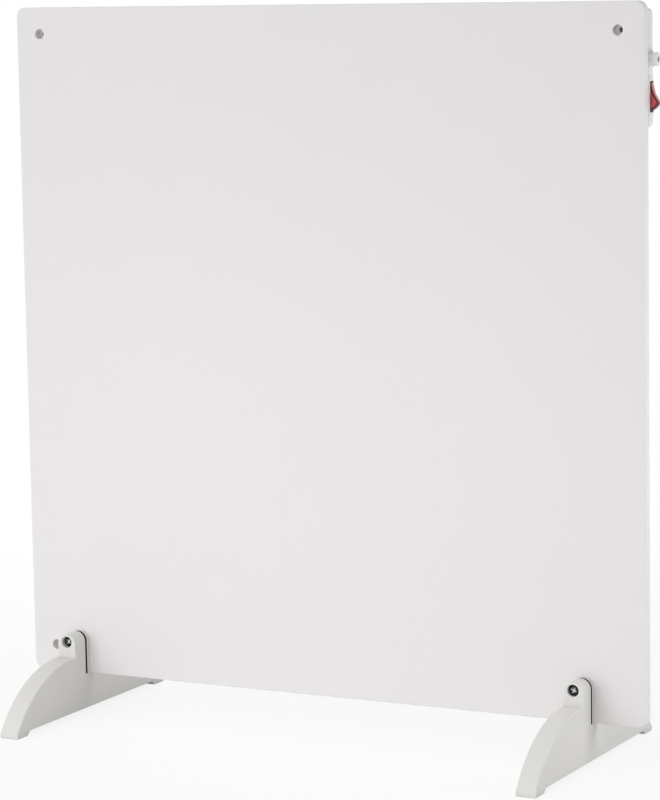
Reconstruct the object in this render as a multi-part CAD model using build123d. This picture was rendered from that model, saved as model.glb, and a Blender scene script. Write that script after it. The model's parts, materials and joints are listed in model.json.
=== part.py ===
from build123d import *
import math
import os

# Flat panel heater: a heated double board on two clamp-on feet, with a control housing behind its
# top right corner. Millimetres, +Z up, the heated face looks along -Y. The origin lies on the floor
# under the middle of the overall box: the panel is centred 4 mm to the left of it, because the
# rocker's tip stands 8 mm past the panel's right side.
# "Panel coordinates" below are X from the panel's centre and Z from its lower edge.

# Panel
PANEL_SIZE = 600.0
PANEL_CENTRE_X = -4.0
PANEL_FLOOR_GAP = 35.0
PANEL_CORNER_R = 8.0
FRONT_BOARD_T = 3.6
REAR_BOARD_T = 4.4
FRONT_Y = -(FRONT_BOARD_T + REAR_BOARD_T) / 2
REAR_Y = -FRONT_Y
SEAM_Y = FRONT_Y + FRONT_BOARD_T
BOARD_EDGE_R = 1.0
SEAM_CHAMFER = 0.2

# Wall fixing: three holes through the boards, each with a spacer behind it
WALL_HOLE_R = 4.5
WALL_HOLE_INSET = 23.5
WALL_HOLE_X = PANEL_SIZE / 2 - WALL_HOLE_INSET
WALL_HOLE_TOP_Z = PANEL_SIZE - WALL_HOLE_INSET
STANDOFF_L = 20.0
STANDOFF_R = 7.0
STANDOFF_BORE_R = 2.25
STANDOFF_FLANGE_R = 10.0
STANDOFF_FLANGE_T = 2.0
STANDOFF_EDGE_R = 1.0

# Heating element in its pocket between the boards
POCKET_HALF_W = 265.0
POCKET_LOW_Z = 35.0
POCKET_HIGH_Z = 565.0
ELEMENT_T = 0.5
MAT_T = 0.8
ELEMENT_ROWS = 18
ELEMENT_PITCH = 30.0
FIRST_ROW_Z = 45.0
STRIP_W = 12.0
LEFT_TURN_X = -251.0
RIGHT_TURN_X = 229.0
RETURN_LEG_X = 251.0

# Element studs, their nuts and ring terminals
UPPER_STUD = (212.0, 555.0)
LOWER_STUD = (RETURN_LEG_X, 516.0)
STUD_R = 1.5
STUD_HEAD_R = 4.0
STUD_END_Y = 9.4
STUD_CLEARANCE = 0.1
NUT_ACROSS_FLATS = 5.5
NUT_H = 2.4
RING_T = 0.6
RING_R = 3.3
BARREL_R = 1.4
BARREL_START = 3.6
BARREL_END = 8.6
TONGUE_W = 2.6

# Control housing, in panel coordinates
HOUSING_X = (190.0, 300.0)
HOUSING_Z = (497.5, 593.5)
HOUSING_DEPTH = 10.5
HOUSING_WALL = 1.6
HOUSING_TOP_R = 5.0
HOUSING_BOTTOM_R = 6.0
HOUSING_SIDE_R = 1.8
HOUSING_BACK_Y = REAR_Y + HOUSING_DEPTH
STANDOFF_HOLE_R = 7.3
BOSS_R = 4.2
BOSS_INSET_X = 7.5
BOSS_INSET_Z = 6.5
BOSS_HOLE_R = 1.7
SCREW_SEAT_Y = 10.5
SCREW_SEAT_R = 3.1
SCREW_R = 1.5
SCREW_HEAD_R = 2.75
SCREW_HEAD_H = 1.8
SCREW_TIP_Y = 1.6
SCREW_CROSS = (3.0, 0.7, 1.0)
INSERT_R = 2.5
INSERT_L = 2.8

# Insulating plate under the wiring
INSULATION_T = 0.8
INSULATION_X = (203.0, 288.0)
INSULATION_Z = (509.0, 564.0)
DECK_Y = REAR_Y + INSULATION_T

# Rocker switch and cord gland on the panel's right side; both share one centre line
SIDE_X = PANEL_SIZE / 2
CONTROL_Y = 8.9
SWITCH_Z = 522.3
BEZEL_SIZE = (8.2, 33.2)
BEZEL_T = 0.7
BEZEL_R = 1.2
BEZEL_EDGE_R = 0.4
SWITCH_OPENING = (6.0, 24.3)
SWITCH_BODY_W = 7.4
SWITCH_BODY_H = 27.2
SWITCH_BODY_L = 18.0
SWITCH_CAVITY_W = 6.0
ROCKER_W = 5.4
ROCKER_R = 12.2
ROCKER_GAP = 0.3
ROCKER_FACE = 8.6
ROCKER_DISH = 0.5
ROCKER_BACK = -3.0
ROCKER_PIVOT_DEPTH = 3.96
ROCKER_TILT = 22.5
ROCKER_EDGE_R = 0.35
TRUNNION_R = 1.2
TRUNNION_FIT = 0.05
TRUNNION_END = 3.6
LAMP_POCKET_TOP = 6.2
LAMP_POCKET_HALF_L = 7.5
LAMP_R = 1.6
LAMP_HALF_L = 5.5
LAMP_LEAD_R = 0.3
LAMP_LEAD_V = 4.5
BLADE_Z = (514.3, 522.3, 530.3)
BLADE_W = 4.8
BLADE_T = 0.8
BLADE_L = 7.0
BLADE_ROOT = 2.0

GLAND_Z = 552.5
GLAND_SIZE = (7.0, 11.2)
GLAND_R = 2.8
GLAND_L = 6.8
GLAND_BORE_R = 2.5
GLAND_EDGE_R = 0.8
GLAND_FLANGE = (8.4, 15.0)
GLAND_FLANGE_T = 1.0
GLAND_NECK = (6.4, 10.6)
GLAND_LIP = (7.4, 12.0)
GLAND_LIP_T = 1.5

# Cord anchorage inside the housing
ANCHOR_X = (271.0, 278.0)
ANCHOR_HALF_H = 11.0
ANCHOR_GAP = 0.4
ANCHOR_TOP_Y = 12.6
ANCHOR_SCREW_DZ = 7.5
ANCHOR_SCREW_R = 1.25
ANCHOR_HEAD_R = 2.2
ANCHOR_HEAD_H = 1.5
ANCHOR_SCREW_TIP_Y = 5.6

# Terminal block
BLOCK_X = (236.0, 258.0)
BLOCK_Z = (541.0, 557.0)
BLOCK_TOP_Y = 12.4
BLOCK_POLES = (242.0, 252.0)
BLOCK_BORE_R = 1.5
BLOCK_BORE_Y = 8.6
BLOCK_SCREW_Z = (544.5, 553.5)
BLOCK_SCREW_R = 1.7
BLOCK_SCREW_SLOT = (3.4, 0.6, 0.7)

# Thermal cut-out and its clip
CUTOUT_X = (212.0, 230.0)
CUTOUT_Z = (520.0, 527.2)
CUTOUT_TOP_Y = 8.6
CUTOUT_LEAD_R = 0.5
CUTOUT_LEAD_L = 4.0
CUTOUT_LEAD_Y = (DECK_Y + CUTOUT_TOP_Y) / 2
CLIP_X = (218.5, 223.5)
CLIP_T = 0.5
CLIP_FOOT = 3.6

# Internal wires
WIRE_R = 0.9
WIRE_IN_BLOCK = 3.5
BEND_SHARE = 0.45

# Feet: centres in panel X, lengths along Y
FOOT_X = {"left": -251.0, "right": 243.5}
FOOT_W = 18.0
FOOT_HALF_L = 126.0
FOOT_BASE_Z = 4.0
NOSE_TOP_Z = 5.0
APEX_Y = 34.0
LEDGE_Z = 53.0
FRONT_POST_Y = (-28.0, -11.0)
REAR_POST_Y = (4.05, 22.0)
POST_TOP_Z = 74.2
SLOT_FLOOR_Z = PANEL_FLOOR_GAP - 0.05
FOOT_EDGE_R = 0.8
CORE_W = 13.0
CORE_EDGES_Y = (-102.0, -80.0, -78.0, -56.0, -54.0, -32.0)
CORE_ROOF = 3.2
MIDDLE_CORE_Y = (-27.0, -1.0, 1.0, 27.0)
MIDDLE_CORE_TOP_Z = 29.0
END_PAD_L = 20.0
END_PAD_EDGE_R = 0.4
PEG_R = 2.0
PEG_H = 4.5
PEG_Y = (118.5, 111.0)

# Foot clamp
CLAMP_Z = PANEL_FLOOR_GAP + 32.0
CLAMP_RECESS_R = 5.1
CLAMP_RECESS_L = 8.0
CLAMP_RIM_CHAMFER = 0.3
CLAMP_HOLE_R = 2.8
CLAMP_SCREW_R = 2.5
CLAMP_HEAD_R = 4.5
CLAMP_HEAD_H = 3.4
CLAMP_HEAD_ROUND = 2.0
CLAMP_HEAD_SINK = 3.8
CLAMP_CROSS = (5.4, 1.1, 2.2)
CLAMP_SHANK_END_Y = -8.2
CLAMP_NECK_R = 1.6
CLAMP_NECK_END_Y = -6.9
CLAMP_TIP_R = 2.2
CLAMP_TIP_END_Y = -5.7
CLAMP_NUT_SIZE = 8.0
CLAMP_NUT_Y = (-15.2, -11.2)
CLAMP_NUT_FIT = 0.05
CLAMP_TIP_FIT = 0.08
PAD_Y = (-7.8, -4.8)
PAD_EDGE_R = 0.5
SOCKET_STEP_Y = -7.0
SOCKET_END_Y = -5.65
FACING_Y = (-4.8, -4.02)
FACING_INSET = 0.4
PAD_LIFT = 0.1


# Helpers

def px(x):
    """Return the model X of a panel X."""
    return PANEL_CENTRE_X + x


def pz(z):
    """Return the model Z of a panel height."""
    return PANEL_FLOOR_GAP + z


def block(x_range, y_range, z_range):
    """Return a box that fills three ranges of model coordinates."""
    size = [high - low for low, high in (x_range, y_range, z_range)]
    middle = [(high + low) / 2 for low, high in (x_range, y_range, z_range)]
    return Pos(*middle) * Box(*size)


def panel_block(x_range, y_range, z_range):
    """Return a box whose X and Z ranges are panel coordinates."""
    return block([px(x) for x in x_range], y_range, [pz(z) for z in z_range])


def around(middle, size):
    """Return the range of a given size around a middle."""
    return (middle - size / 2, middle + size / 2)


def rod_y(x, z, y_range, radius):
    """Return a round bar along Y."""
    low, high = y_range
    return Pos(x, (low + high) / 2, z) * Rot(90, 0, 0) * Cylinder(radius, high - low)


def panel_rod(spot, y_range, radius):
    """Return a round bar along Y at an (X, Z) spot of the panel."""
    return rod_y(px(spot[0]), pz(spot[1]), y_range, radius)


def plate(outline, y_range):
    """Extrude an outline drawn in (X, Z) over a range of Y."""
    low, high = y_range
    return extrude(Plane.XZ.offset(-high) * outline, high - low)


def side_prism(outline, x_range):
    """Extrude an outline drawn in (Y, Z) over a range of X."""
    low, high = x_range
    return extrude(Plane.YZ.offset(low) * outline, high - low)


def union(shapes):
    """Fuse a list of solids that touch or overlap."""
    result = shapes[0]
    for shape in shapes[1:]:
        result += shape
    return result


def group(shapes):
    """Keep separate solids together in one node."""
    return Compound(children=list(shapes))


# Panel

def wall_hole_spots():
    """Return the three wall holes by name, in panel coordinates."""
    return {
        "top_left": (-WALL_HOLE_X, WALL_HOLE_TOP_Z),
        "top_right": (WALL_HOLE_X, WALL_HOLE_TOP_Z),
        "bottom_left": (-WALL_HOLE_X, WALL_HOLE_INSET),
    }


def board_blank(y_range, outer_face_index):
    """Return a board with a rounded outer edge and a fine chamfer along the seam."""
    outline = RectangleRounded(PANEL_SIZE, PANEL_SIZE, PANEL_CORNER_R)
    centre = Pos(PANEL_CENTRE_X, pz(PANEL_SIZE / 2))
    board = plate(centre * outline, y_range)
    seam_face_index = -1 - outer_face_index
    board = fillet(board.faces().sort_by(Axis.Y)[outer_face_index].edges(), BOARD_EDGE_R)
    return chamfer(board.faces().sort_by(Axis.Y)[seam_face_index].edges(), SEAM_CHAMFER)


def make_front_board():
    """Return the painted front board with its wall holes."""
    board = board_blank((FRONT_Y, SEAM_Y), 0)
    for spot in wall_hole_spots().values():
        board -= panel_rod(spot, (FRONT_Y - 1, SEAM_Y + 1), WALL_HOLE_R)
    return board


def element_pocket(y_range):
    """Return the block that fills the element's pocket over a range of Y."""
    return panel_block((-POCKET_HALF_W, POCKET_HALF_W), y_range, (POCKET_LOW_Z, POCKET_HIGH_Z))


def make_rear_board():
    """Return the rear board: pocket in front, wall holes, stud holes and insert holes."""
    board = board_blank((SEAM_Y, REAR_Y), -1)
    board -= element_pocket((SEAM_Y - 1, SEAM_Y + ELEMENT_T + MAT_T))
    for spot in wall_hole_spots().values():
        board -= panel_rod(spot, (SEAM_Y - 1, REAR_Y + 1), WALL_HOLE_R)
    for spot in (UPPER_STUD, LOWER_STUD):
        board -= panel_rod(spot, (SEAM_Y, REAR_Y + 1), STUD_R + STUD_CLEARANCE)
    for spot in housing_screw_spots():
        board -= panel_rod(spot, (REAR_Y - INSERT_L, REAR_Y + 1), INSERT_R)
    return board


def strip(x_range, z_range):
    """Return one straight piece of the element's outline."""
    width = x_range[1] - x_range[0]
    height = z_range[1] - z_range[0]
    centre = Pos(px(sum(x_range) / 2), pz(sum(z_range) / 2))
    return centre * Rectangle(width, height)


def make_heating_element():
    """Return the flat strip: rows joined by turns, and a leg up the right side to the lower stud."""
    half = STRIP_W / 2
    outline = strip(around(RETURN_LEG_X, STRIP_W), (FIRST_ROW_Z - half, LOWER_STUD[1] + half))
    for row in range(ELEMENT_ROWS):
        z = FIRST_ROW_Z + row * ELEMENT_PITCH
        right_end = RIGHT_TURN_X
        if row == 0:
            right_end = RETURN_LEG_X
        if row == ELEMENT_ROWS - 1:
            right_end = UPPER_STUD[0]
        outline += strip((LEFT_TURN_X - half, right_end + half), around(z, STRIP_W))
        if row < ELEMENT_ROWS - 1:
            turn_x = LEFT_TURN_X if row % 2 == 0 else RIGHT_TURN_X
            outline += strip(around(turn_x, STRIP_W), (z - half, z + ELEMENT_PITCH + half))
    return plate(outline, (SEAM_Y, SEAM_Y + ELEMENT_T))


def make_element_mat():
    """Return the insulating mat behind the element, cut out round the stud heads."""
    layer = (SEAM_Y + ELEMENT_T, SEAM_Y + ELEMENT_T + MAT_T)
    mat = element_pocket(layer)
    for spot in (UPPER_STUD, LOWER_STUD):
        mat -= panel_rod(spot, layer, STUD_HEAD_R)
    return mat


def make_standoff(spot):
    """Return a wall spacer: flange on the board, post and screw bore."""
    end_y = REAR_Y + STANDOFF_L
    post = panel_rod(spot, (REAR_Y, end_y), STANDOFF_R)
    post = fillet(post.faces().sort_by(Axis.Y)[-1].edges(), STANDOFF_EDGE_R)
    flange = panel_rod(spot, (REAR_Y, REAR_Y + STANDOFF_FLANGE_T), STANDOFF_FLANGE_R)
    return post + flange - panel_rod(spot, (REAR_Y - 1, end_y + 1), STANDOFF_BORE_R)


# Element connections

def make_element_studs():
    """Return the two studs; their heads bear on the floor of the pocket."""
    head_layer = (SEAM_Y + ELEMENT_T, SEAM_Y + ELEMENT_T + MAT_T)
    studs = []
    for spot in (UPPER_STUD, LOWER_STUD):
        shank = panel_rod(spot, (head_layer[0], STUD_END_Y), STUD_R)
        studs.append(shank + panel_rod(spot, head_layer, STUD_HEAD_R))
    return group(studs)


def make_stud_nuts():
    """Return the two hexagon nuts; the lower one clamps two ring terminals."""
    nuts = []
    for spot, rings in ((UPPER_STUD, 1), (LOWER_STUD, 2)):
        seat = DECK_Y + rings * RING_T
        hexagon = RegularPolygon(NUT_ACROSS_FLATS / 2, 6, major_radius=False)
        nut = plate(Pos(px(spot[0]), pz(spot[1])) * hexagon, (seat, seat + NUT_H))
        nuts.append(nut - panel_rod(spot, (seat - 1, seat + NUT_H + 1), STUD_R))
    return group(nuts)


def ring_terminal(spot, base_y, turn):
    """Return a ring terminal; turn is the angle of its barrel from +X towards +Z, in degrees."""
    ring = rod_y(0, 0, (0, RING_T), RING_R)
    tongue = block((0, BARREL_START + BARREL_R), (0, RING_T), around(0, TONGUE_W))
    barrel_centre = Pos((BARREL_START + BARREL_END) / 2, BARREL_R, 0)
    barrel = barrel_centre * Rot(0, 90, 0) * Cylinder(BARREL_R, BARREL_END - BARREL_START)
    terminal = ring + tongue + barrel - rod_y(0, 0, (-1, RING_T + 1), STUD_R)
    return Pos(px(spot[0]), base_y, pz(spot[1])) * Rot(0, -turn, 0) * terminal


def make_ring_terminals():
    """Return the three ring terminals: one on the upper stud, two stacked on the lower one."""
    return group([
        ring_terminal(UPPER_STUD, DECK_Y, -90),
        ring_terminal(LOWER_STUD, DECK_Y, 90),
        ring_terminal(LOWER_STUD, DECK_Y + RING_T, 0),
    ])


# Control housing

def housing_screw_spots():
    """Return the four screw positions, in panel coordinates."""
    x_low, x_high = HOUSING_X
    z_low, z_high = HOUSING_Z
    return [
        (x, z)
        for x in (x_low + BOSS_INSET_X, x_high - BOSS_INSET_X)
        for z in (z_low + BOSS_INSET_Z, z_high - BOSS_INSET_Z)
    ]


def housing_block(inset):
    """Return the housing's rounded block, drawn in by the wall where inset is above 0."""
    x_range = (HOUSING_X[0] + inset, HOUSING_X[1] - inset)
    z_range = (HOUSING_Z[0] + inset, HOUSING_Z[1] - inset)
    shape = panel_block(x_range, (REAR_Y, HOUSING_BACK_Y - inset), z_range)
    back = shape.faces().sort_by(Axis.Y)[-1]
    shape = fillet(back.edges().sort_by(Axis.Z)[-1], HOUSING_TOP_R - inset)
    back = shape.faces().sort_by(Axis.Y)[-1]
    shape = fillet(back.edges().sort_by(Axis.Z)[0], HOUSING_BOTTOM_R - inset)
    ends = shape.faces().sort_by(Axis.X)
    rounded = [
        edge
        for face in (ends[0], ends[-1])
        for edge in face.edges()
        if edge.bounding_box().max.Y > HOUSING_BACK_Y - inset - 0.01
    ]
    return fillet(rounded, HOUSING_SIDE_R - inset)


def make_switch_housing():
    """Return the moulded shell with its screw bosses and openings."""
    shell = housing_block(0) - housing_block(HOUSING_WALL)
    for spot in housing_screw_spots():
        shell += panel_rod(spot, (REAR_Y, HOUSING_BACK_Y - HOUSING_WALL / 2), BOSS_R)
    for spot in housing_screw_spots():
        shell -= panel_rod(spot, (REAR_Y - 1, SCREW_SEAT_Y), BOSS_HOLE_R)
        shell -= panel_rod(spot, (SCREW_SEAT_Y, HOUSING_BACK_Y + 1), SCREW_SEAT_R)
    spacer = wall_hole_spots()["top_right"]
    shell -= panel_rod(spacer, (SCREW_SEAT_Y, HOUSING_BACK_Y + 1), STANDOFF_HOLE_R)
    wall = (px(SIDE_X) - HOUSING_WALL, px(SIDE_X))
    shell -= switch_body_block(wall)
    return shell - gland_prism(GLAND_NECK, wall)


def cross_recess(size):
    """Return a cross of two bars sunk from y = 0 towards +Y."""
    length, width, depth = size
    bar = Pos(0, depth / 2, 0) * Box(length, depth, width)
    return bar + Pos(0, depth / 2, 0) * Box(width, depth, length)


def make_housing_screws():
    """Return the four pan-head screws of the housing."""
    head_top = SCREW_SEAT_Y + SCREW_HEAD_H
    screws = []
    for spot in housing_screw_spots():
        shank = panel_rod(spot, (SCREW_TIP_Y, SCREW_SEAT_Y + 0.1), SCREW_R)
        head = panel_rod(spot, (SCREW_SEAT_Y, head_top), SCREW_HEAD_R)
        head = fillet(head.faces().sort_by(Axis.Y)[-1].edges(), SCREW_HEAD_H / 2)
        place = Pos(px(spot[0]), head_top, pz(spot[1])) * Rot(0, 0, 180)
        screws.append(shank + head - place * cross_recess(SCREW_CROSS))
    return group(screws)


def make_housing_inserts():
    """Return the four brass inserts in the rear board."""
    inserts = []
    for spot in housing_screw_spots():
        layer = (REAR_Y - INSERT_L, REAR_Y)
        inserts.append(panel_rod(spot, layer, INSERT_R) - panel_rod(spot, layer, SCREW_R))
    return group(inserts)


def make_insulating_plate():
    """Return the sheet between the warm board and the wiring."""
    sheet = panel_block(INSULATION_X, (REAR_Y, DECK_Y), INSULATION_Z)
    for spot in (UPPER_STUD, LOWER_STUD):
        sheet -= panel_rod(spot, (REAR_Y - 1, DECK_Y + 1), STUD_R + STUD_CLEARANCE)
    return sheet


# Rocker switch

def switch_body_block(x_range):
    """Return the switch body's section over a range of model X."""
    return block(
        x_range,
        around(CONTROL_Y, SWITCH_BODY_W),
        around(pz(SWITCH_Z), SWITCH_BODY_H),
    )


def pivot_x():
    """Return the model X of the rocker's pivot."""
    return px(SIDE_X) + BEZEL_T - ROCKER_PIVOT_DEPTH


def make_switch_bezel():
    """Return the frame round the rocker."""
    outline = Pos(CONTROL_Y, pz(SWITCH_Z)) * RectangleRounded(*BEZEL_SIZE, BEZEL_R)
    frame = side_prism(outline, (px(SIDE_X), px(SIDE_X) + BEZEL_T))
    frame = fillet(frame.faces().sort_by(Axis.X)[-1].edges(), BEZEL_EDGE_R)
    opening_w, opening_h = SWITCH_OPENING
    return frame - block(
        (px(SIDE_X) - 1, px(SIDE_X) + BEZEL_T + 1),
        around(CONTROL_Y, opening_w),
        around(pz(SWITCH_Z), opening_h),
    )


def blade(z, x_range):
    """Return one flat blade at a panel height, over a range of model X."""
    return block(x_range, around(CONTROL_Y, BLADE_W), around(pz(z), BLADE_T))


def make_switch_body():
    """Return the box behind the bezel, hollowed round the rocker."""
    back_x = px(SIDE_X) - SWITCH_BODY_L
    body = switch_body_block((back_x, px(SIDE_X)))
    swing = Pos(pivot_x(), pz(SWITCH_Z)) * Circle(ROCKER_R + ROCKER_GAP)
    body -= plate(swing, around(CONTROL_Y, SWITCH_CAVITY_W))
    trunnions = around(CONTROL_Y, SWITCH_BODY_W + 1)
    body -= rod_y(pivot_x(), pz(SWITCH_Z), trunnions, TRUNNION_R + TRUNNION_FIT)
    for z in BLADE_Z:
        body -= blade(z, (back_x - 1, back_x + BLADE_ROOT))
    return body


def make_switch_terminals():
    """Return the three blades behind the switch body."""
    back_x = px(SIDE_X) - SWITCH_BODY_L
    return group([blade(z, (back_x - BLADE_L, back_x + BLADE_ROOT)) for z in BLADE_Z])


def place_on_rocker(shape):
    """Tilt a shape drawn round the pivot, face towards +X, to the rocker's rest position."""
    return Pos(pivot_x(), CONTROL_Y, pz(SWITCH_Z)) * Rot(0, -ROCKER_TILT, 0) * shape


def make_switch_rocker():
    """Return the rocker: round flanks, dished face, two trunnions and a pocket for the lamp."""
    face_half = math.sqrt(ROCKER_R**2 - ROCKER_FACE**2)
    back_half = math.sqrt(ROCKER_R**2 - ROCKER_BACK**2)
    outline = make_face([
        ThreePointArc((ROCKER_BACK, -back_half), flank_middle(-1), (ROCKER_FACE, -face_half)),
        ThreePointArc(
            (ROCKER_FACE, -face_half), (ROCKER_FACE - ROCKER_DISH, 0), (ROCKER_FACE, face_half)
        ),
        ThreePointArc((ROCKER_FACE, face_half), flank_middle(1), (ROCKER_BACK, back_half)),
        Line((ROCKER_BACK, back_half), (ROCKER_BACK, -back_half)),
    ])
    rocker = plate(outline, around(0, ROCKER_W))
    sides = rocker.faces().filter_by(Axis.Y)
    rocker = fillet([edge for face in sides for edge in face.edges()], ROCKER_EDGE_R)
    rocker += rod_y(0, 0, (-TRUNNION_END, TRUNNION_END), TRUNNION_R)
    pocket_z = (-LAMP_POCKET_HALF_L, LAMP_POCKET_HALF_L)
    rocker -= block((ROCKER_BACK - 1, LAMP_POCKET_TOP), (-LAMP_R, LAMP_R), pocket_z)
    return place_on_rocker(rocker)


def flank_middle(side):
    """Return the middle of the rocker's round flank above (1) or below (-1) its pivot."""
    start = math.atan2(math.sqrt(ROCKER_R**2 - ROCKER_BACK**2), ROCKER_BACK)
    end = math.acos(ROCKER_FACE / ROCKER_R)
    angle = (start + end) / 2
    return (ROCKER_R * math.cos(angle), side * ROCKER_R * math.sin(angle))


def make_neon_lamp():
    """Return the lamp that lies in the rocker, with its two leads."""
    axis_u = LAMP_POCKET_TOP - LAMP_R
    lamp = Pos(axis_u, 0, 0) * Cylinder(LAMP_R, 2 * LAMP_HALF_L)
    lamp = fillet(lamp.edges(), LAMP_R / 2)
    lead_l = axis_u - ROCKER_BACK
    for v in (-LAMP_LEAD_V, LAMP_LEAD_V):
        centre = Pos(axis_u - lead_l / 2, 0, v)
        lamp += centre * Rot(0, 90, 0) * Cylinder(LAMP_LEAD_R, lead_l)
    return place_on_rocker(lamp)


# Cord gland and anchorage

def gland_prism(size, x_range):
    """Return one rounded section of the gland over a range of model X."""
    radius = min(GLAND_R, size[0] / 2 - 0.4)
    outline = Pos(CONTROL_Y, pz(GLAND_Z)) * RectangleRounded(*size, radius)
    return side_prism(outline, x_range)


def make_cord_gland():
    """Return the gland: oblong boss, flange outside, neck in the wall and lip inside."""
    side = px(SIDE_X)
    boss = gland_prism(GLAND_SIZE, (side, side + GLAND_L))
    boss = fillet(boss.faces().sort_by(Axis.X)[-1].edges(), GLAND_EDGE_R)
    lip_start = side - HOUSING_WALL - GLAND_LIP_T
    gland = union([
        boss,
        gland_prism(GLAND_FLANGE, (side, side + GLAND_FLANGE_T)),
        gland_prism(GLAND_NECK, (side - HOUSING_WALL, side)),
        gland_prism(GLAND_LIP, (lip_start, side - HOUSING_WALL)),
    ])
    bore_l = side + GLAND_L - lip_start + 2
    bore_centre = Pos(lip_start + bore_l / 2 - 1, CONTROL_Y, pz(GLAND_Z))
    return gland - bore_centre * Rot(0, 90, 0) * Cylinder(GLAND_BORE_R, bore_l)


def anchor_half(y_range):
    """Return one half of the anchorage, grooved for the cord and drilled for its screws."""
    half = panel_block(ANCHOR_X, y_range, around(GLAND_Z, 2 * ANCHOR_HALF_H))
    groove_centre = Pos(px(sum(ANCHOR_X) / 2), CONTROL_Y, pz(GLAND_Z))
    half -= groove_centre * Rot(0, 90, 0) * Cylinder(GLAND_BORE_R, ANCHOR_X[1] - ANCHOR_X[0] + 2)
    for spot in anchor_screw_spots():
        half -= panel_rod(spot, (ANCHOR_SCREW_TIP_Y, ANCHOR_TOP_Y + 1), ANCHOR_SCREW_R)
    return half


def anchor_screw_spots():
    """Return the two screws of the anchorage, in panel coordinates."""
    x = sum(ANCHOR_X) / 2
    return [(x, GLAND_Z - ANCHOR_SCREW_DZ), (x, GLAND_Z + ANCHOR_SCREW_DZ)]


def make_cord_saddle():
    """Return the lower half of the anchorage, on the insulating plate."""
    return anchor_half((DECK_Y, CONTROL_Y - ANCHOR_GAP / 2))


def make_cord_clamp():
    """Return the upper half of the anchorage, with seats for its screw heads."""
    clamp = anchor_half((CONTROL_Y + ANCHOR_GAP / 2, ANCHOR_TOP_Y))
    for spot in anchor_screw_spots():
        seat = (ANCHOR_TOP_Y - ANCHOR_HEAD_H, ANCHOR_TOP_Y + 1)
        clamp -= panel_rod(spot, seat, ANCHOR_HEAD_R)
    return clamp


def make_cord_clamp_screws():
    """Return the two screws of the anchorage."""
    screws = []
    for spot in anchor_screw_spots():
        shank = panel_rod(spot, (ANCHOR_SCREW_TIP_Y, ANCHOR_TOP_Y - 0.1), ANCHOR_SCREW_R)
        seat = (ANCHOR_TOP_Y - ANCHOR_HEAD_H, ANCHOR_TOP_Y)
        head = panel_rod(spot, seat, ANCHOR_HEAD_R)
        place = Pos(px(spot[0]), ANCHOR_TOP_Y, pz(spot[1])) * Rot(0, 0, 180)
        screws.append(shank + head - place * cross_recess(SCREW_CROSS))
    return group(screws)


# Terminal block and thermal cut-out

def block_screw_layer():
    """Return the Y range of the terminal screws: from the wire's top to under the block's top."""
    return (BLOCK_BORE_Y + WIRE_R, BLOCK_TOP_Y - 0.2)


def block_screw_spots():
    """Return the four terminal screws, in panel coordinates."""
    return [(x, z) for x in BLOCK_POLES for z in BLOCK_SCREW_Z]


def make_terminal_block():
    """Return the two-pole block with its wire bores and screw holes."""
    body = panel_block(BLOCK_X, (DECK_Y, BLOCK_TOP_Y), BLOCK_Z)
    length = BLOCK_Z[1] - BLOCK_Z[0] + 2
    for x in BLOCK_POLES:
        body -= Pos(px(x), BLOCK_BORE_Y, pz(sum(BLOCK_Z) / 2)) * Cylinder(BLOCK_BORE_R, length)
    for spot in block_screw_spots():
        body -= panel_rod(spot, (BLOCK_BORE_Y, BLOCK_TOP_Y + 1), BLOCK_SCREW_R)
    return body


def make_terminal_screws():
    """Return the four slotted terminal screws."""
    low, high = block_screw_layer()
    length, width, depth = BLOCK_SCREW_SLOT
    screws = []
    for spot in block_screw_spots():
        slot = Pos(px(spot[0]), high - depth / 2, pz(spot[1])) * Box(length, depth, width)
        screws.append(panel_rod(spot, (low, high), BLOCK_SCREW_R) - slot)
    return group(screws)


def make_thermal_cutout():
    """Return the cut-out body with a lead at each end."""
    body = panel_block(CUTOUT_X, (DECK_Y, CUTOUT_TOP_Y), CUTOUT_Z)
    length = CUTOUT_X[1] - CUTOUT_X[0] + 2 * CUTOUT_LEAD_L
    centre = Pos(px(sum(CUTOUT_X) / 2), CUTOUT_LEAD_Y, pz(sum(CUTOUT_Z) / 2))
    return body + centre * Rot(0, 90, 0) * Cylinder(CUTOUT_LEAD_R, length)


def make_cutout_clip():
    """Return the bent strap that holds the cut-out on the plate."""
    z_low, z_high = CUTOUT_Z
    top = (CUTOUT_TOP_Y, CUTOUT_TOP_Y + CLIP_T)
    leg = (DECK_Y, CUTOUT_TOP_Y + CLIP_T)
    foot = (DECK_Y, DECK_Y + CLIP_T)
    return union([
        panel_block(CLIP_X, top, (z_low - CLIP_T, z_high + CLIP_T)),
        panel_block(CLIP_X, leg, (z_low - CLIP_T, z_low)),
        panel_block(CLIP_X, leg, (z_high, z_high + CLIP_T)),
        panel_block(CLIP_X, foot, (z_low - CLIP_T - CLIP_FOOT, z_low)),
        panel_block(CLIP_X, foot, (z_high, z_high + CLIP_T + CLIP_FOOT)),
    ])


# Internal wires

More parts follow.
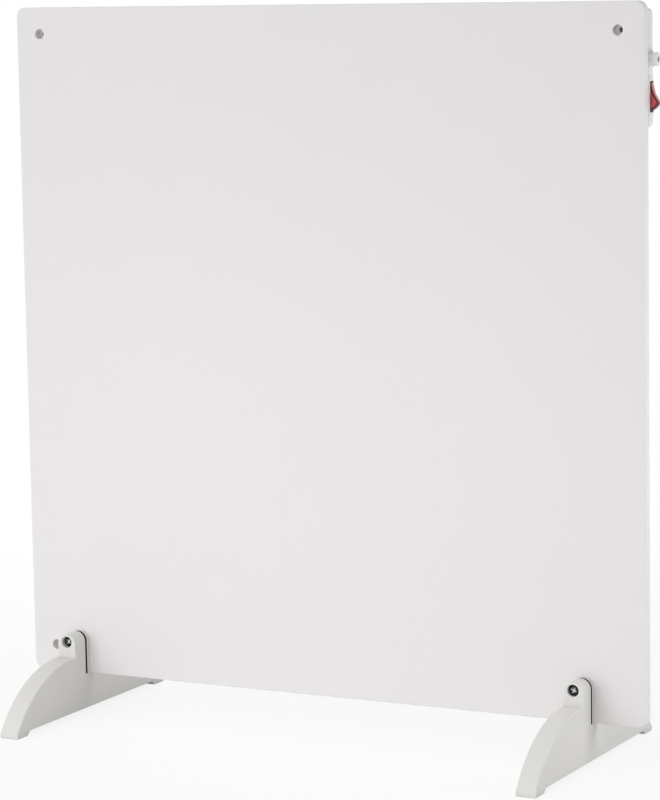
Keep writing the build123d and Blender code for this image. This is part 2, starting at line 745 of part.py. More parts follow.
def wire_routes():
    """Return each wire's route as (panel X, Y, panel Z) points, from end to end."""
    block_end = BLOCK_Z[0] + WIRE_IN_BLOCK
    blade_end = SIDE_X - SWITCH_BODY_L - BLADE_L
    lead_z = sum(CUTOUT_Z) / 2
    left_lead = CUTOUT_X[0] - CUTOUT_LEAD_L
    right_lead = CUTOUT_X[1] + CUTOUT_LEAD_L
    neutral_x, live_x = BLOCK_POLES
    lower, middle, upper = BLADE_Z
    ring_y = DECK_Y + BARREL_R
    second_ring_y = ring_y + RING_T
    stud_x, stud_z = LOWER_STUD
    return {
        "feed_wire": [
            (live_x, BLOCK_BORE_Y, block_end),
            (live_x, BLOCK_BORE_Y, 535.5),
            (261.5, 9.4, 531.0),
            (268.5, CONTROL_Y, upper),
            (blade_end, CONTROL_Y, upper),
        ],
        "neutral_wire": [
            (neutral_x, BLOCK_BORE_Y, block_end),
            (neutral_x, BLOCK_BORE_Y, 537.5),
            (245.5, 7.2, 532.5),
            (stud_x, ring_y, 529.5),
            (stud_x, ring_y, stud_z + BARREL_END),
        ],
        "lamp_wire": [
            (blade_end, CONTROL_Y, lower),
            (269.5, CONTROL_Y, lower),
            (264.5, second_ring_y, stud_z),
            (stud_x + BARREL_END, second_ring_y, stud_z),
        ],
        "load_wire": [
            (blade_end, CONTROL_Y, middle),
            (268.0, CONTROL_Y, middle),
            (259.0, 10.7, 524.4),
            (247.0, 10.9, 524.8),
            (239.5, CUTOUT_LEAD_Y, lead_z),
            (right_lead, CUTOUT_LEAD_Y, lead_z),
        ],
        "element_wire": [
            (left_lead, CUTOUT_LEAD_Y, lead_z),
            (204.6, CUTOUT_LEAD_Y, lead_z),
            (204.0, ring_y, 530.5),
            (UPPER_STUD[0], ring_y, 539.5),
            (UPPER_STUD[0], ring_y, UPPER_STUD[1] - BARREL_END),
        ],
    }


def bend_radii(points):
    """Return a radius for each inner point, as large as the shorter of its two runs allows."""
    radii = []
    for before, corner, after in zip(points, points[1:], points[2:]):
        run_in = corner - before
        run_out = after - corner
        half_turn = math.radians(run_in.get_angle(run_out)) / 2
        shorter = min(run_in.length, run_out.length)
        radii.append(BEND_SHARE * shorter / math.tan(half_turn))
    return radii


def make_wire(name, route):
    """Return a round wire of straight runs joined by tangent arcs."""
    points = [Vector(px(x), y, pz(z)) for x, y, z in route]
    radii = bend_radii(points)
    path = FilletPolyline(*points, radius=radii)
    start = Plane(origin=path @ 0, z_dir=path % 0)
    tube = sweep(start * Circle(WIRE_R), path)
    expected = math.pi * WIRE_R**2 * path.length
    print(name, "radii", [round(radius, 1) for radius in radii], "length", round(path.length, 1))
    print(name, "volume", round(tube.volume, 2), "section times length", round(expected, 2))
    return tube


# Feet

def foot_outline():
    """Return the foot's side view in (Y, Z): two noses, two posts and the slot between them."""
    front_post, front_face = FRONT_POST_Y
    rear_face, rear_post = REAR_POST_Y
    top = [
        (-APEX_Y, LEDGE_Z),
        (front_post, LEDGE_Z),
        (front_post, POST_TOP_Z),
        (front_face, POST_TOP_Z),
        (front_face, SLOT_FLOOR_Z),
        (rear_face, SLOT_FLOOR_Z),
        (rear_face, POST_TOP_Z),
        (rear_post, POST_TOP_Z),
        (rear_post, LEDGE_Z),
        (APEX_Y, LEDGE_Z),
    ]
    base = [
        (FOOT_HALF_L, NOSE_TOP_Z),
        (FOOT_HALF_L, FOOT_BASE_Z),
        (-FOOT_HALF_L, FOOT_BASE_Z),
        (-FOOT_HALF_L, NOSE_TOP_Z),
    ]
    return make_face([
        Polyline(*top),
        TangentArc(top[-1], base[0], tangent=(1, 0)),
        Polyline(*base),
        TangentArc(top[0], base[-1], tangent=(-1, 0)),
    ])


def nose_height(y):
    """Return the height of the foot's round back at a distance y from the panel."""
    run = FOOT_HALF_L - APEX_Y
    rise = LEDGE_Z - NOSE_TOP_Z
    radius = (run**2 + rise**2) / (2 * rise)
    return LEDGE_Z - radius + math.sqrt(radius**2 - (abs(y) - APEX_Y) ** 2)


def round_topped(width, low_z, top_z):
    """Return an upright outline in (X, Z) round x = 0, with a full-round top."""
    radius = width / 2
    low, shoulder = low_z, top_z - radius
    return make_face([
        Polyline((radius, shoulder), (radius, low), (-radius, low), (-radius, shoulder)),
        ThreePointArc((-radius, shoulder), (0, top_z), (radius, shoulder)),
    ])


def foot_cores():
    """Return the hollows that lighten the foot from below, between cross ribs."""
    cores = []
    edges = CORE_EDGES_Y
    for outer, inner in zip(edges[::2], edges[1::2]):
        roof = nose_height(outer) - CORE_ROOF
        for y_range in ((outer, inner), (-inner, -outer)):
            cores.append(block(around(0, CORE_W), y_range, (0, roof)))
    middle = MIDDLE_CORE_Y
    for y_range in zip(middle[::2], middle[1::2]):
        cores.append(block(around(0, CORE_W), y_range, (0, MIDDLE_CORE_TOP_Z)))
    return cores


def foot_back_edges(foot):
    """Return the side edges of the two round backs and their ledges."""
    low = FOOT_BASE_Z + 0.1
    return [
        edge
        for edge in foot.edges()
        if abs(abs(edge.center().X) - FOOT_W / 2) < 0.01
        and abs(edge.center().Y) > REAR_POST_Y[1] + 0.1
        and edge.bounding_box().max.Z > low
        and edge.bounding_box().size.Y > 1
    ]


def post_outline_edges(foot):
    """Return the edges round the outer faces of the two posts, above the ledges."""
    return [
        edge
        for edge in foot.edges()
        if edge.bounding_box().size.Y < 0.01
        and edge.center().Z > LEDGE_Z + 1
        and (
            abs(edge.center().Y - FRONT_POST_Y[0]) < 0.01
            or abs(edge.center().Y - REAR_POST_Y[1]) < 0.01
        )
    ]


def make_foot():
    """Return a foot round x = 0."""
    foot = side_prism(foot_outline(), around(0, FOOT_W))
    foot = fillet(foot_back_edges(foot), FOOT_EDGE_R)
    envelope = plate(round_topped(FOOT_W, 0, POST_TOP_Z), (-FOOT_HALF_L - 1, FOOT_HALF_L + 1))
    foot = foot & envelope
    foot = fillet(post_outline_edges(foot), FOOT_EDGE_R)
    for core in foot_cores():
        foot -= core
    recess_end = FRONT_POST_Y[0] + CLAMP_RECESS_L
    foot -= rod_y(0, CLAMP_Z, (FRONT_POST_Y[0] - 1, recess_end), CLAMP_RECESS_R)
    foot -= rod_y(0, CLAMP_Z, (recess_end - 1, FRONT_POST_Y[1] + 1), CLAMP_HOLE_R)
    rim_centre = Pos(0, FRONT_POST_Y[0] + CLAMP_RIM_CHAMFER / 2, CLAMP_Z)
    rim_r = CLAMP_RECESS_R + CLAMP_RIM_CHAMFER
    foot -= rim_centre * Rot(90, 0, 0) * Cone(CLAMP_RECESS_R, rim_r, CLAMP_RIM_CHAMFER)
    nut_pocket = (CLAMP_NUT_Y[0], FRONT_POST_Y[1] + 1)
    foot -= block(around(0, CLAMP_NUT_SIZE), nut_pocket, around(CLAMP_Z, CLAMP_NUT_SIZE))
    for side in (-1, 1):
        for y in PEG_Y:
            foot -= Pos(0, side * y, FOOT_BASE_Z + PEG_H / 2) * Cylinder(PEG_R, PEG_H)
    return foot


def make_end_pad(side):
    """Return the pad under the toe (-1) or the heel (1), with two pegs up into the foot."""
    outer = side * FOOT_HALF_L
    inner = side * (FOOT_HALF_L - END_PAD_L)
    outline = make_face(Polyline(
        (outer, 0),
        (inner + side * FOOT_BASE_Z, 0),
        (inner, FOOT_BASE_Z),
        (outer, FOOT_BASE_Z),
        (outer, 0),
    ))
    pad = side_prism(outline, around(0, FOOT_W))
    pad = chamfer(pad.faces().sort_by(Axis.Z)[0].edges(), END_PAD_EDGE_R)
    for y in PEG_Y:
        pad += Pos(0, side * y, FOOT_BASE_Z + PEG_H / 2) * Cylinder(PEG_R, PEG_H)
    return pad


def make_clamp_nut():
    """Return the captive square nut."""
    nut = block(around(0, CLAMP_NUT_SIZE), CLAMP_NUT_Y, around(CLAMP_Z, CLAMP_NUT_SIZE))
    return nut - rod_y(0, CLAMP_Z, (-20, -5), CLAMP_SCREW_R + CLAMP_NUT_FIT)


def make_clamp_screw():
    """Return the pan-head clamp screw with its swivel tip."""
    head_front = FRONT_POST_Y[0] + CLAMP_HEAD_SINK
    head_back = head_front + CLAMP_HEAD_H
    head = rod_y(0, CLAMP_Z, (head_front, head_back), CLAMP_HEAD_R)
    head = fillet(head.faces().sort_by(Axis.Y)[0].edges(), CLAMP_HEAD_ROUND)
    screw = union([
        head,
        rod_y(0, CLAMP_Z, (head_back - 1, CLAMP_SHANK_END_Y), CLAMP_SCREW_R),
        rod_y(0, CLAMP_Z, (CLAMP_SHANK_END_Y - 1, CLAMP_NECK_END_Y), CLAMP_NECK_R),
        rod_y(0, CLAMP_Z, (CLAMP_NECK_END_Y, CLAMP_TIP_END_Y), CLAMP_TIP_R),
    ])
    return screw - Pos(0, head_front, CLAMP_Z) * cross_recess(CLAMP_CROSS)


def make_pressure_pad():
    """Return the pad that the screw pushes towards the panel."""
    outline = round_topped(FOOT_W, PANEL_FLOOR_GAP + PAD_LIFT, POST_TOP_Z)
    pad = plate(outline, PAD_Y)
    pad = fillet(pad.faces().sort_by(Axis.Y)[0].edges(), PAD_EDGE_R)
    mouth = (PAD_Y[0] - 1, SOCKET_STEP_Y)
    pad -= rod_y(0, CLAMP_Z, mouth, CLAMP_NECK_R + CLAMP_TIP_FIT)
    return pad - rod_y(0, CLAMP_Z, (SOCKET_STEP_Y, SOCKET_END_Y), CLAMP_TIP_R + CLAMP_TIP_FIT)


def make_pad_facing():
    """Return the soft facing between the pressure pad and the panel."""
    low = PANEL_FLOOR_GAP + PAD_LIFT + FACING_INSET
    return plate(round_topped(FOOT_W - 2 * FACING_INSET, low, POST_TOP_Z - FACING_INSET), FACING_Y)


def foot_parts(side):
    """Return the pieces of one foot by node name."""
    pieces = {
        f"{side}_foot": make_foot(),
        f"{side}_toe_pad": make_end_pad(-1),
        f"{side}_heel_pad": make_end_pad(1),
        f"{side}_clamp_nut": make_clamp_nut(),
        f"{side}_clamp_screw": make_clamp_screw(),
        f"{side}_pressure_pad": make_pressure_pad(),
        f"{side}_pad_facing": make_pad_facing(),
    }
    return {name: Pos(px(FOOT_X[side]), 0, 0) * shape for name, shape in pieces.items()}


# Assembly

def all_parts():
    """Return every node of the heater by name."""
    parts = {
        "front_board": make_front_board(),
        "rear_board": make_rear_board(),
        "heating_element": make_heating_element(),
        "element_mat": make_element_mat(),
        "element_studs": make_element_studs(),
        "stud_nuts": make_stud_nuts(),
        "ring_terminals": make_ring_terminals(),
        "switch_housing": make_switch_housing(),
        "housing_screws": make_housing_screws(),
        "housing_inserts": make_housing_inserts(),
        "insulating_plate": make_insulating_plate(),
        "switch_bezel": make_switch_bezel(),
        "switch_body": make_switch_body(),
        "switch_terminals": make_switch_terminals(),
        "switch_rocker": make_switch_rocker(),
        "neon_lamp": make_neon_lamp(),
        "cord_gland": make_cord_gland(),
        "cord_saddle": make_cord_saddle(),
        "cord_clamp": make_cord_clamp(),
        "cord_clamp_screws": make_cord_clamp_screws(),
        "terminal_block": make_terminal_block(),
        "terminal_screws": make_terminal_screws(),
        "thermal_cutout": make_thermal_cutout(),
        "cutout_clip": make_cutout_clip(),
    }
    for place, spot in wall_hole_spots().items():
        parts[f"standoff_{place}"] = make_standoff(spot)
    for name, route in wire_routes().items():
        parts[name] = make_wire(name, route)
    for side in FOOT_X:
        parts.update(foot_parts(side))
    return parts


def main():
    """Write one STEP file for each node."""
    os.makedirs("parts", exist_ok=True)
    for name, shape in all_parts().items():
        export_step(shape, f"parts/{name}.step")


if __name__ == "__main__":
    main()
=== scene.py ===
"""Looks of the flat panel heater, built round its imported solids.

The heater stands on Z = 0 and its heated face looks along -Y. The sub-assemblies hold their sizes
in millimetres, as on a workshop drawing; they become metres where a mesh is made. The studio is in
metres, apart from the camera's fields that end in mm.
"""

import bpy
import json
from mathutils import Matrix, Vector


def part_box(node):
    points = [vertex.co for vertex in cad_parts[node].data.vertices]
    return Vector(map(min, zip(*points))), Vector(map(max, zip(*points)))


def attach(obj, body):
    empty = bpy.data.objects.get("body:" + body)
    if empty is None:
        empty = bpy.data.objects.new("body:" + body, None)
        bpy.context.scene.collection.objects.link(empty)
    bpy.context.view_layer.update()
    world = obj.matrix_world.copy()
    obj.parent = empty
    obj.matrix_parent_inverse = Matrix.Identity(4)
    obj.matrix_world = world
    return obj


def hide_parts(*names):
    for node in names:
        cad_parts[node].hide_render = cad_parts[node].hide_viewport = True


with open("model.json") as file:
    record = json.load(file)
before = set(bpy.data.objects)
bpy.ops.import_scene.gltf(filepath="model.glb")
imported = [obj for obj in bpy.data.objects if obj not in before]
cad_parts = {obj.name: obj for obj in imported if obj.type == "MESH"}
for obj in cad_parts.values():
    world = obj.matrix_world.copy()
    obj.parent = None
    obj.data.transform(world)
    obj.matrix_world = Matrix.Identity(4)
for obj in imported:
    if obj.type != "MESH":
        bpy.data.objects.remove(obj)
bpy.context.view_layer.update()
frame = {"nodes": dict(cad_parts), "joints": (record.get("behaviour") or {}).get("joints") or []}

import json
import logging
import math
from dataclasses import dataclass, field, replace
from enum import Enum
from itertools import product
from typing import Callable, ClassVar, Mapping, Sequence

import bmesh
import bpy
from mathutils import Matrix, Vector

LOG = logging.getLogger("panel_heater")
MM = 0.001
FULL_TURN = 2.0 * math.pi
RIGHT_ANGLE = math.radians(90.0)

Pair = tuple[float, float]
Triple = tuple[float, float, float]
Rgba = tuple[float, float, float, float]
Profile = Sequence[Pair]
Carve = Callable[[float, float], float]
Socket = bpy.types.NodeSocket
Inputs = dict[str, object]

WHITE: Rgba = (1.0, 1.0, 1.0, 1.0)
PALE_GREY: Rgba = (0.8, 0.8, 0.8, 1.0)


class Side(Enum):
    """The two feet, as seen from the front."""

    LEFT = "left"
    RIGHT = "right"


class Pattern(Enum):
    """The visible structure of a surface."""

    PLAIN = "plain"
    STREAKS = "streaks"
    WEAVE = "weave"
    FIBRES = "fibres"


class SocketKind(Enum):
    """The kinds of socket that a node group has."""

    COLOUR = "NodeSocketColor"
    NUMBER = "NodeSocketFloat"
    VECTOR = "NodeSocketVector"


# Node trees


class NodeSheet:
    """Adds and wires the nodes of one node tree, set out in rows.

    Attributes:
        tree: the tree that the nodes go into.
        count: how many nodes it has been given.
    """

    ROW_LENGTH: ClassVar[int] = 9
    SPACING: ClassVar[Pair] = (190.0, -230.0)
    NOISE_ROUGHNESS: ClassVar[float] = 0.55

    def __init__(self, tree: bpy.types.NodeTree) -> None:
        """Keep the tree that the nodes go into, with none counted yet."""
        self.tree = tree
        self.count = 0

    @classmethod
    def cleared(cls, owner: bpy.types.ID) -> "NodeSheet":
        """Switch on the nodes of a material or the world, and take out those it comes with.

        Args:
            owner: the material or the world.

        Returns:
            The empty sheet.
        """
        owner.use_nodes = True
        owner.node_tree.nodes.clear()
        return cls(owner.node_tree)

    def add(
        self, kind: str, inputs: Inputs | None = None, settings: Inputs | None = None
    ) -> bpy.types.Node:
        """Add one node.

        Args:
            kind: the node's type name.
            inputs: values or source sockets by the name of the input socket.
            settings: node properties by name.

        Returns:
            The new node.
        """
        node = self.tree.nodes.new(kind)
        self.count += 1
        row, column = divmod(self.count, self.ROW_LENGTH)
        node.location = (self.SPACING[0] * column, self.SPACING[1] * row)
        for name, value in (settings or {}).items():
            setattr(node, name, value)
        for name, value in (inputs or {}).items():
            socket = self.open_input(node, name)
            if isinstance(value, Socket):
                self.tree.links.new(value, socket)
            else:
                socket.default_value = value
        return node

    @staticmethod
    def open_input(node: bpy.types.Node, name: str) -> Socket:
        """Find an input by its name, the enabled one where several share it.

        Args:
            node: the node that is asked.
            name: the socket's name, or # and its index where only the place tells it.

        Returns:
            The input socket.
        """
        if name.startswith("#"):
            return node.inputs[int(name[1:])]
        return next(socket for socket in node.inputs if socket.name == name and socket.enabled)

    def math(self, operation: str, first: object, second: object = 0.0) -> Socket:
        """Return what Blender's Math operation makes of one or two numbers or sockets."""
        node = self.add("ShaderNodeMath", {"#0": first, "#1": second}, {"operation": operation})
        return node.outputs[0]

    def vector_math(self, operation: str, inputs: Inputs) -> bpy.types.Node:
        """Return a new node that works on whole vectors."""
        return self.add("ShaderNodeVectorMath", inputs, {"operation": operation})

    def blend(self, share: object, first: object, second: object) -> Socket:
        """Return a blend of two colours, from the first at 0 to the second at 1."""
        # A Mix node's colour sockets are told from its others by their place alone.
        inputs = {"#0": share, "#6": first, "#7": second}
        return self.add("ShaderNodeMix", inputs, {"data_type": "RGBA"}).outputs[2]

    def spread(
        self, value: object, low: object, high: object, between: Pair = (0.0, 1.0)
    ) -> Socket:
        """Stretch a value to a range, and hold it at the range's ends.

        Args:
            value: a source socket.
            low: the result at the lower bound.
            high: the result at the upper bound.
            between: the value's lower and upper bound.

        Returns:
            The result's socket.
        """
        inputs = {
            "Value": value, "From Min": between[0], "From Max": between[1],
            "To Min": low, "To Max": high,
        }
        return self.add("ShaderNodeMapRange", inputs).outputs[0]

    def object_point(self) -> Socket:
        """Return the surface point in object coordinates, in metres."""
        return self.add("ShaderNodeTexCoord").outputs["Object"]

    def noise(self, point: Socket, scale: object, detail: float) -> Socket:
        """Add noise between 0 and 1.

        Args:
            point: where it is asked for.
            scale: grains per unit of that point.
            detail: how many finer layers lie on it.

        Returns:
            The noise's socket.
        """
        inputs = {
            "Vector": point, "Scale": scale, "Detail": detail,
            "Roughness": self.NOISE_ROUGHNESS,
        }
        return self.add("ShaderNodeTexNoise", inputs).outputs[0]


class Effect:
    """A shader node group that several finishes use, built at its first use.

    Attributes:
        NAME: the group's name.
        INPUTS: name, kind and default of each input.
        OUTPUTS: name and kind of each output.
        tree: the group, once it is built.
    """

    NAME: ClassVar[str]
    INPUTS: ClassVar[tuple[tuple[str, SocketKind, object], ...]]
    OUTPUTS: ClassVar[tuple[tuple[str, SocketKind], ...]]
    tree: ClassVar[bpy.types.NodeTree | None] = None

    @classmethod
    def place(cls, sheet: NodeSheet, inputs: Inputs) -> bpy.types.Node:
        """Place the group in a material with the material's own values.

        Args:
            sheet: the material's nodes.
            inputs: values or source sockets by the name of the group's input.

        Returns:
            The group's node in the material.
        """
        if cls.tree is None:
            cls.tree = cls.build()
        return sheet.add("ShaderNodeGroup", inputs, {"node_tree": cls.tree})

    @classmethod
    def build(cls) -> bpy.types.NodeTree:
        """Build the group's sockets and the nodes between them.

        Returns:
            The node group.
        """
        tree = bpy.data.node_groups.new(cls.NAME, "ShaderNodeTree")
        for name, kind, default in cls.INPUTS:
            socket = tree.interface.new_socket(name=name, in_out="INPUT", socket_type=kind.value)
            socket.default_value = default
        for name, kind in cls.OUTPUTS:
            tree.interface.new_socket(name=name, in_out="OUTPUT", socket_type=kind.value)
        sheet = NodeSheet(tree)
        given = sheet.add("NodeGroupInput").outputs
        sheet.add("NodeGroupOutput", cls.fill(sheet, given))
        return tree

    @classmethod
    def fill(cls, sheet: NodeSheet, given: Mapping[str, Socket]) -> Inputs:
        """Add the nodes that follow the group's inputs, and return what goes out by name."""
        raise NotImplementedError(cls.NAME)


class ColourDrift(Effect):
    """Lets a colour grow a little lighter and darker over the surface."""

    NAME = "ColourDrift"
    INPUTS = (
        ("Colour", SocketKind.COLOUR, PALE_GREY),
        ("Scale", SocketKind.NUMBER, 6.0),
        ("Amount", SocketKind.NUMBER, 0.04),
    )
    OUTPUTS = (("Colour", SocketKind.COLOUR),)
    NOISE_DETAIL: ClassVar[float] = 3.0
    NOISE_MIDDLE: ClassVar[float] = 0.5

    @classmethod
    def fill(cls, sheet: NodeSheet, given: Mapping[str, Socket]) -> Inputs:
        """Scale the colour by slow noise about 1.

        Args:
            sheet: the group's nodes.
            given: the group's inputs by name.

        Returns:
            The drifting colour.
        """
        slow = sheet.noise(sheet.object_point(), given["Scale"], cls.NOISE_DETAIL)
        swing = sheet.math("SUBTRACT", slow, cls.NOISE_MIDDLE)
        gain = sheet.math("ADD", sheet.math("MULTIPLY", swing, given["Amount"]), 1.0)
        scaled = sheet.vector_math("SCALE", {"#0": given["Colour"], "Scale": gain})
        return {"Colour": scaled.outputs[0]}


class SkinGrain(Effect):
    """The grain of a fine skin, on a longer and softer swell."""

    NAME = "SkinGrain"
    INPUTS = (
        ("Scale", SocketKind.NUMBER, 900.0),
        ("Swell", SocketKind.NUMBER, 1.0),
    )
    OUTPUTS = (("Height", SocketKind.NUMBER), ("Mask", SocketKind.NUMBER))
    GRAIN_DETAIL: ClassVar[float] = 2.0
    SWELL_DETAIL: ClassVar[float] = 1.0
    SWELL_LENGTH: ClassVar[float] = 6.0

    @classmethod
    def fill(cls, sheet: NodeSheet, given: Mapping[str, Socket]) -> Inputs:
        """Add fine noise to a swell of several times its length.

        Args:
            sheet: the group's nodes.
            given: the group's inputs by name.

        Returns:
            The height of both, and the fine noise alone as the mask.
        """
        point = sheet.object_point()
        fine = sheet.noise(point, given["Scale"], cls.GRAIN_DETAIL)
        swell_scale = sheet.math("DIVIDE", given["Scale"], cls.SWELL_LENGTH)
        swell = sheet.noise(point, swell_scale, cls.SWELL_DETAIL)
        weighted = sheet.math("MULTIPLY", swell, given["Swell"])
        return {"Height": sheet.math("ADD", fine, weighted), "Mask": fine}


class DrawnLines(Effect):
    """Drawn or brushed lines along one axis."""

    NAME = "DrawnLines"
    INPUTS = (("Stretch", SocketKind.VECTOR, (4000.0, 4000.0, 120.0)),)
    OUTPUTS = (("Height", SocketKind.NUMBER),)
    NOISE_DETAIL: ClassVar[float] = 4.0

    @classmethod
    def fill(cls, sheet: NodeSheet, given: Mapping[str, Socket]) -> Inputs:
        """Stretch noise along the axis with the smallest number.

        Args:
            sheet: the group's nodes.
            given: the group's inputs by name.

        Returns:
            The height of the lines.
        """
        stretched = sheet.vector_math(
            "MULTIPLY", {"#0": sheet.object_point(), "#1": given["Stretch"]}
        )
        return {"Height": sheet.noise(stretched.outputs[0], 1.0, cls.NOISE_DETAIL)}


class PlainWeave(Effect):
    """A plain weave of threads in two directions."""

    NAME = "PlainWeave"
    INPUTS = (("Threads", SocketKind.NUMBER, 500.0),)
    OUTPUTS = (("Height", SocketKind.NUMBER),)

    @classmethod
    def fill(cls, sheet: NodeSheet, given: Mapping[str, Socket]) -> Inputs:
        """Cross two sets of round threads, the higher one showing.

        Args:
            sheet: the group's nodes.
            given: the group's inputs by name.

        Returns:
            The height of the threads.
        """
        scaled = sheet.vector_math(
            "SCALE", {"#0": sheet.object_point(), "Scale": given["Threads"]}
        )
        parts = sheet.add("ShaderNodeSeparateXYZ", {"Vector": scaled.outputs[0]}).outputs
        diagonal = sheet.math("ADD", parts["X"], parts["Y"])
        warp = sheet.math("SINE", sheet.math("MULTIPLY", diagonal, FULL_TURN))
        weft = sheet.math("SINE", sheet.math("MULTIPLY", parts["Z"], FULL_TURN))
        warp_height = sheet.math("ABSOLUTE", warp)
        return {"Height": sheet.math("MAXIMUM", warp_height, sheet.math("ABSOLUTE", weft))}


class PaintedCornerShade(Effect):
    """Painted shade: darkens inner corners, and turns deep, narrow gaps near black."""

    NAME = "PaintedCornerShade"
    INPUTS = (
        ("Colour", SocketKind.COLOUR, PALE_GREY),
        ("CornerShadeColour", SocketKind.COLOUR, (0.35, 0.33, 0.30, 1.0)),
        ("GapShadeColour", SocketKind.COLOUR, (0.03, 0.03, 0.028, 1.0)),
        ("Reach", SocketKind.NUMBER, 0.006),
        ("Amount", SocketKind.NUMBER, 0.2),
        ("Gap", SocketKind.NUMBER, 0.9),
    )
    OUTPUTS = (("Colour", SocketKind.COLOUR),)
    SAMPLES: ClassVar[int] = 6
    GAP_OPEN: ClassVar[Pair] = (0.04, 0.22)

    @classmethod
    def fill(cls, sheet: NodeSheet, given: Mapping[str, Socket]) -> Inputs:
        """Blend towards a painted shade colour by how closed in a point is, and to a near-black
        painted shade in a narrow gap.

        Args:
            sheet: the group's nodes.
            given: the group's inputs by name.

        Returns:
            The shaded colour.
        """
        # Ambient occlusion paints shade into the colour: corners darker, narrow gaps near black.
        around = sheet.add(
            "ShaderNodeAmbientOcclusion", {"Distance": given["Reach"]}, {"samples": cls.SAMPLES}
        )
        open_share = around.outputs["AO"]
        corner = sheet.math("MULTIPLY", sheet.math("SUBTRACT", 1.0, open_share), given["Amount"])
        corner_shaded = sheet.blend(corner, given["Colour"], given["CornerShadeColour"])
        deep = sheet.spread(open_share, given["Gap"], 0.0, cls.GAP_OPEN)
        return {"Colour": sheet.blend(deep, corner_shaded, given["GapShadeColour"])}


# Finishes


@dataclass(frozen=True)
class Finish:
    """A finish of the heater: colour, gloss and the fine structure of its skin.

    Attributes:
        name: the material's name.
        colour: base colour, linear.
        roughness: middle roughness.
        roughness_swing: how far the roughness goes either way.
        drift: share by which the colour drifts over the surface.
        drift_scale: blotches per metre.
        grain_scale: grains per metre.
        grain_depth: depth of the grain in millimetres.
        swell: share of the longer swell under the grain.
        corner_shade: how much an inner corner is darkened, a painted shade.
        gap: how much a deep, narrow gap is darkened, a painted shade.
        metallic: 1 for bare metal.
        coat: weight of a clear coat.
        pattern: what the surface is made of, seen close.
        pattern_scale: lines or threads per metre of that pattern.
        LINE_SHARE: lines per metre along a line, as a share of those across it.
        GRAIN_SHARE: how much of the grain stays on a surface with a pattern.
        made: the materials that are built, by name.
    """

    name: str
    colour: Triple
    roughness: float
    roughness_swing: float = 0.05
    drift: float = 0.03
    drift_scale: float = 7.0
    grain_scale: float = 1400.0
    grain_depth: float = 0.006
    swell: float = 0.6
    # How much inner corners get painted shade; the next field paints shade into deep, narrow gaps.
    corner_shade: float = 0.0
    gap: float = 0.0
    metallic: float = 0.0
    coat: float = 0.0
    pattern: Pattern = Pattern.PLAIN
    pattern_scale: float = 500.0

    LINE_SHARE: ClassVar[dict[Pattern, float]] = {Pattern.STREAKS: 0.04, Pattern.FIBRES: 0.2}
    GRAIN_SHARE: ClassVar[float] = 0.3
    made: ClassVar[dict[str, bpy.types.Material]] = {}

    def material(self) -> bpy.types.Material:
        """Return the finish as a material, built at its first use.

        Returns:
            The material.
        """
        if self.name not in self.made:
            self.made[self.name] = self.build()
        return self.made[self.name]

    def build(self) -> bpy.types.Material:
        """Build the nodes: drifting colour, grained roughness and bump.

        Returns:
            The new material.
        """
        material = bpy.data.materials.new(self.name)
        material.diffuse_color = (*self.colour, 1.0)
        sheet = NodeSheet.cleared(material)
        grain = SkinGrain.place(sheet, {"Scale": self.grain_scale, "Swell": self.swell}).outputs
        relief = self.relief(sheet, grain["Height"])
        bump = sheet.add(
            "ShaderNodeBump",
            {"Height": relief, "Strength": 1.0, "Distance": self.grain_depth * MM},
        )
        roughness = sheet.spread(
            grain["Mask"],
            self.roughness - self.roughness_swing,
            self.roughness + self.roughness_swing,
        )
        shader = sheet.add(
            "ShaderNodeBsdfPrincipled",
            {
                "Base Color": self.base_colour(sheet),
                "Roughness": roughness,
                "Metallic": self.metallic,
                "Coat Weight": self.coat,
                "Normal": bump.outputs[0],
                **self.clear_inputs(),
            },
        )
        sheet.add("ShaderNodeOutputMaterial", {"Surface": shader.outputs[0]})
        return material

    def base_colour(self, sheet: NodeSheet) -> Socket:
        """Let the colour drift, and paint shade into inner corners and deep, narrow gaps.

        Args:
            sheet: the material's nodes.

        Returns:
            The colour's socket.
        """
        drift = ColourDrift.place(
            sheet,
            {"Colour": (*self.colour, 1.0), "Scale": self.drift_scale, "Amount": self.drift},
        )
        if not (self.corner_shade or self.gap):
            return drift.outputs["Colour"]
        # Painted shade: inner corners darker, deep, narrow gaps near black.
        shaded = PaintedCornerShade.place(
            sheet, {"Colour": drift.outputs["Colour"], "Amount": self.corner_shade, "Gap": self.gap}
        )
        return shaded.outputs["Colour"]

    def relief(self, sheet: NodeSheet, grain: Socket) -> Socket:
        """Add the pattern of the surface to the grain, where it has one.

        Args:
            sheet: the material's nodes.
            grain: the grain's height.

        Returns:
            The height's socket.
        """
        if self.pattern is Pattern.PLAIN:
            return grain
        across = self.pattern_scale
        if self.pattern is Pattern.WEAVE:
            group = PlainWeave.place(sheet, {"Threads": across})
        else:
            along = across * self.LINE_SHARE[self.pattern]
            group = DrawnLines.place(sheet, {"Stretch": (across, across, along)})
        under = sheet.math("MULTIPLY", grain, self.GRAIN_SHARE)
        return sheet.math("ADD", under, group.outputs["Height"])

    def clear_inputs(self) -> Inputs:
        """Return the shader's values for clear plastic; an opaque finish has none."""
        return {}


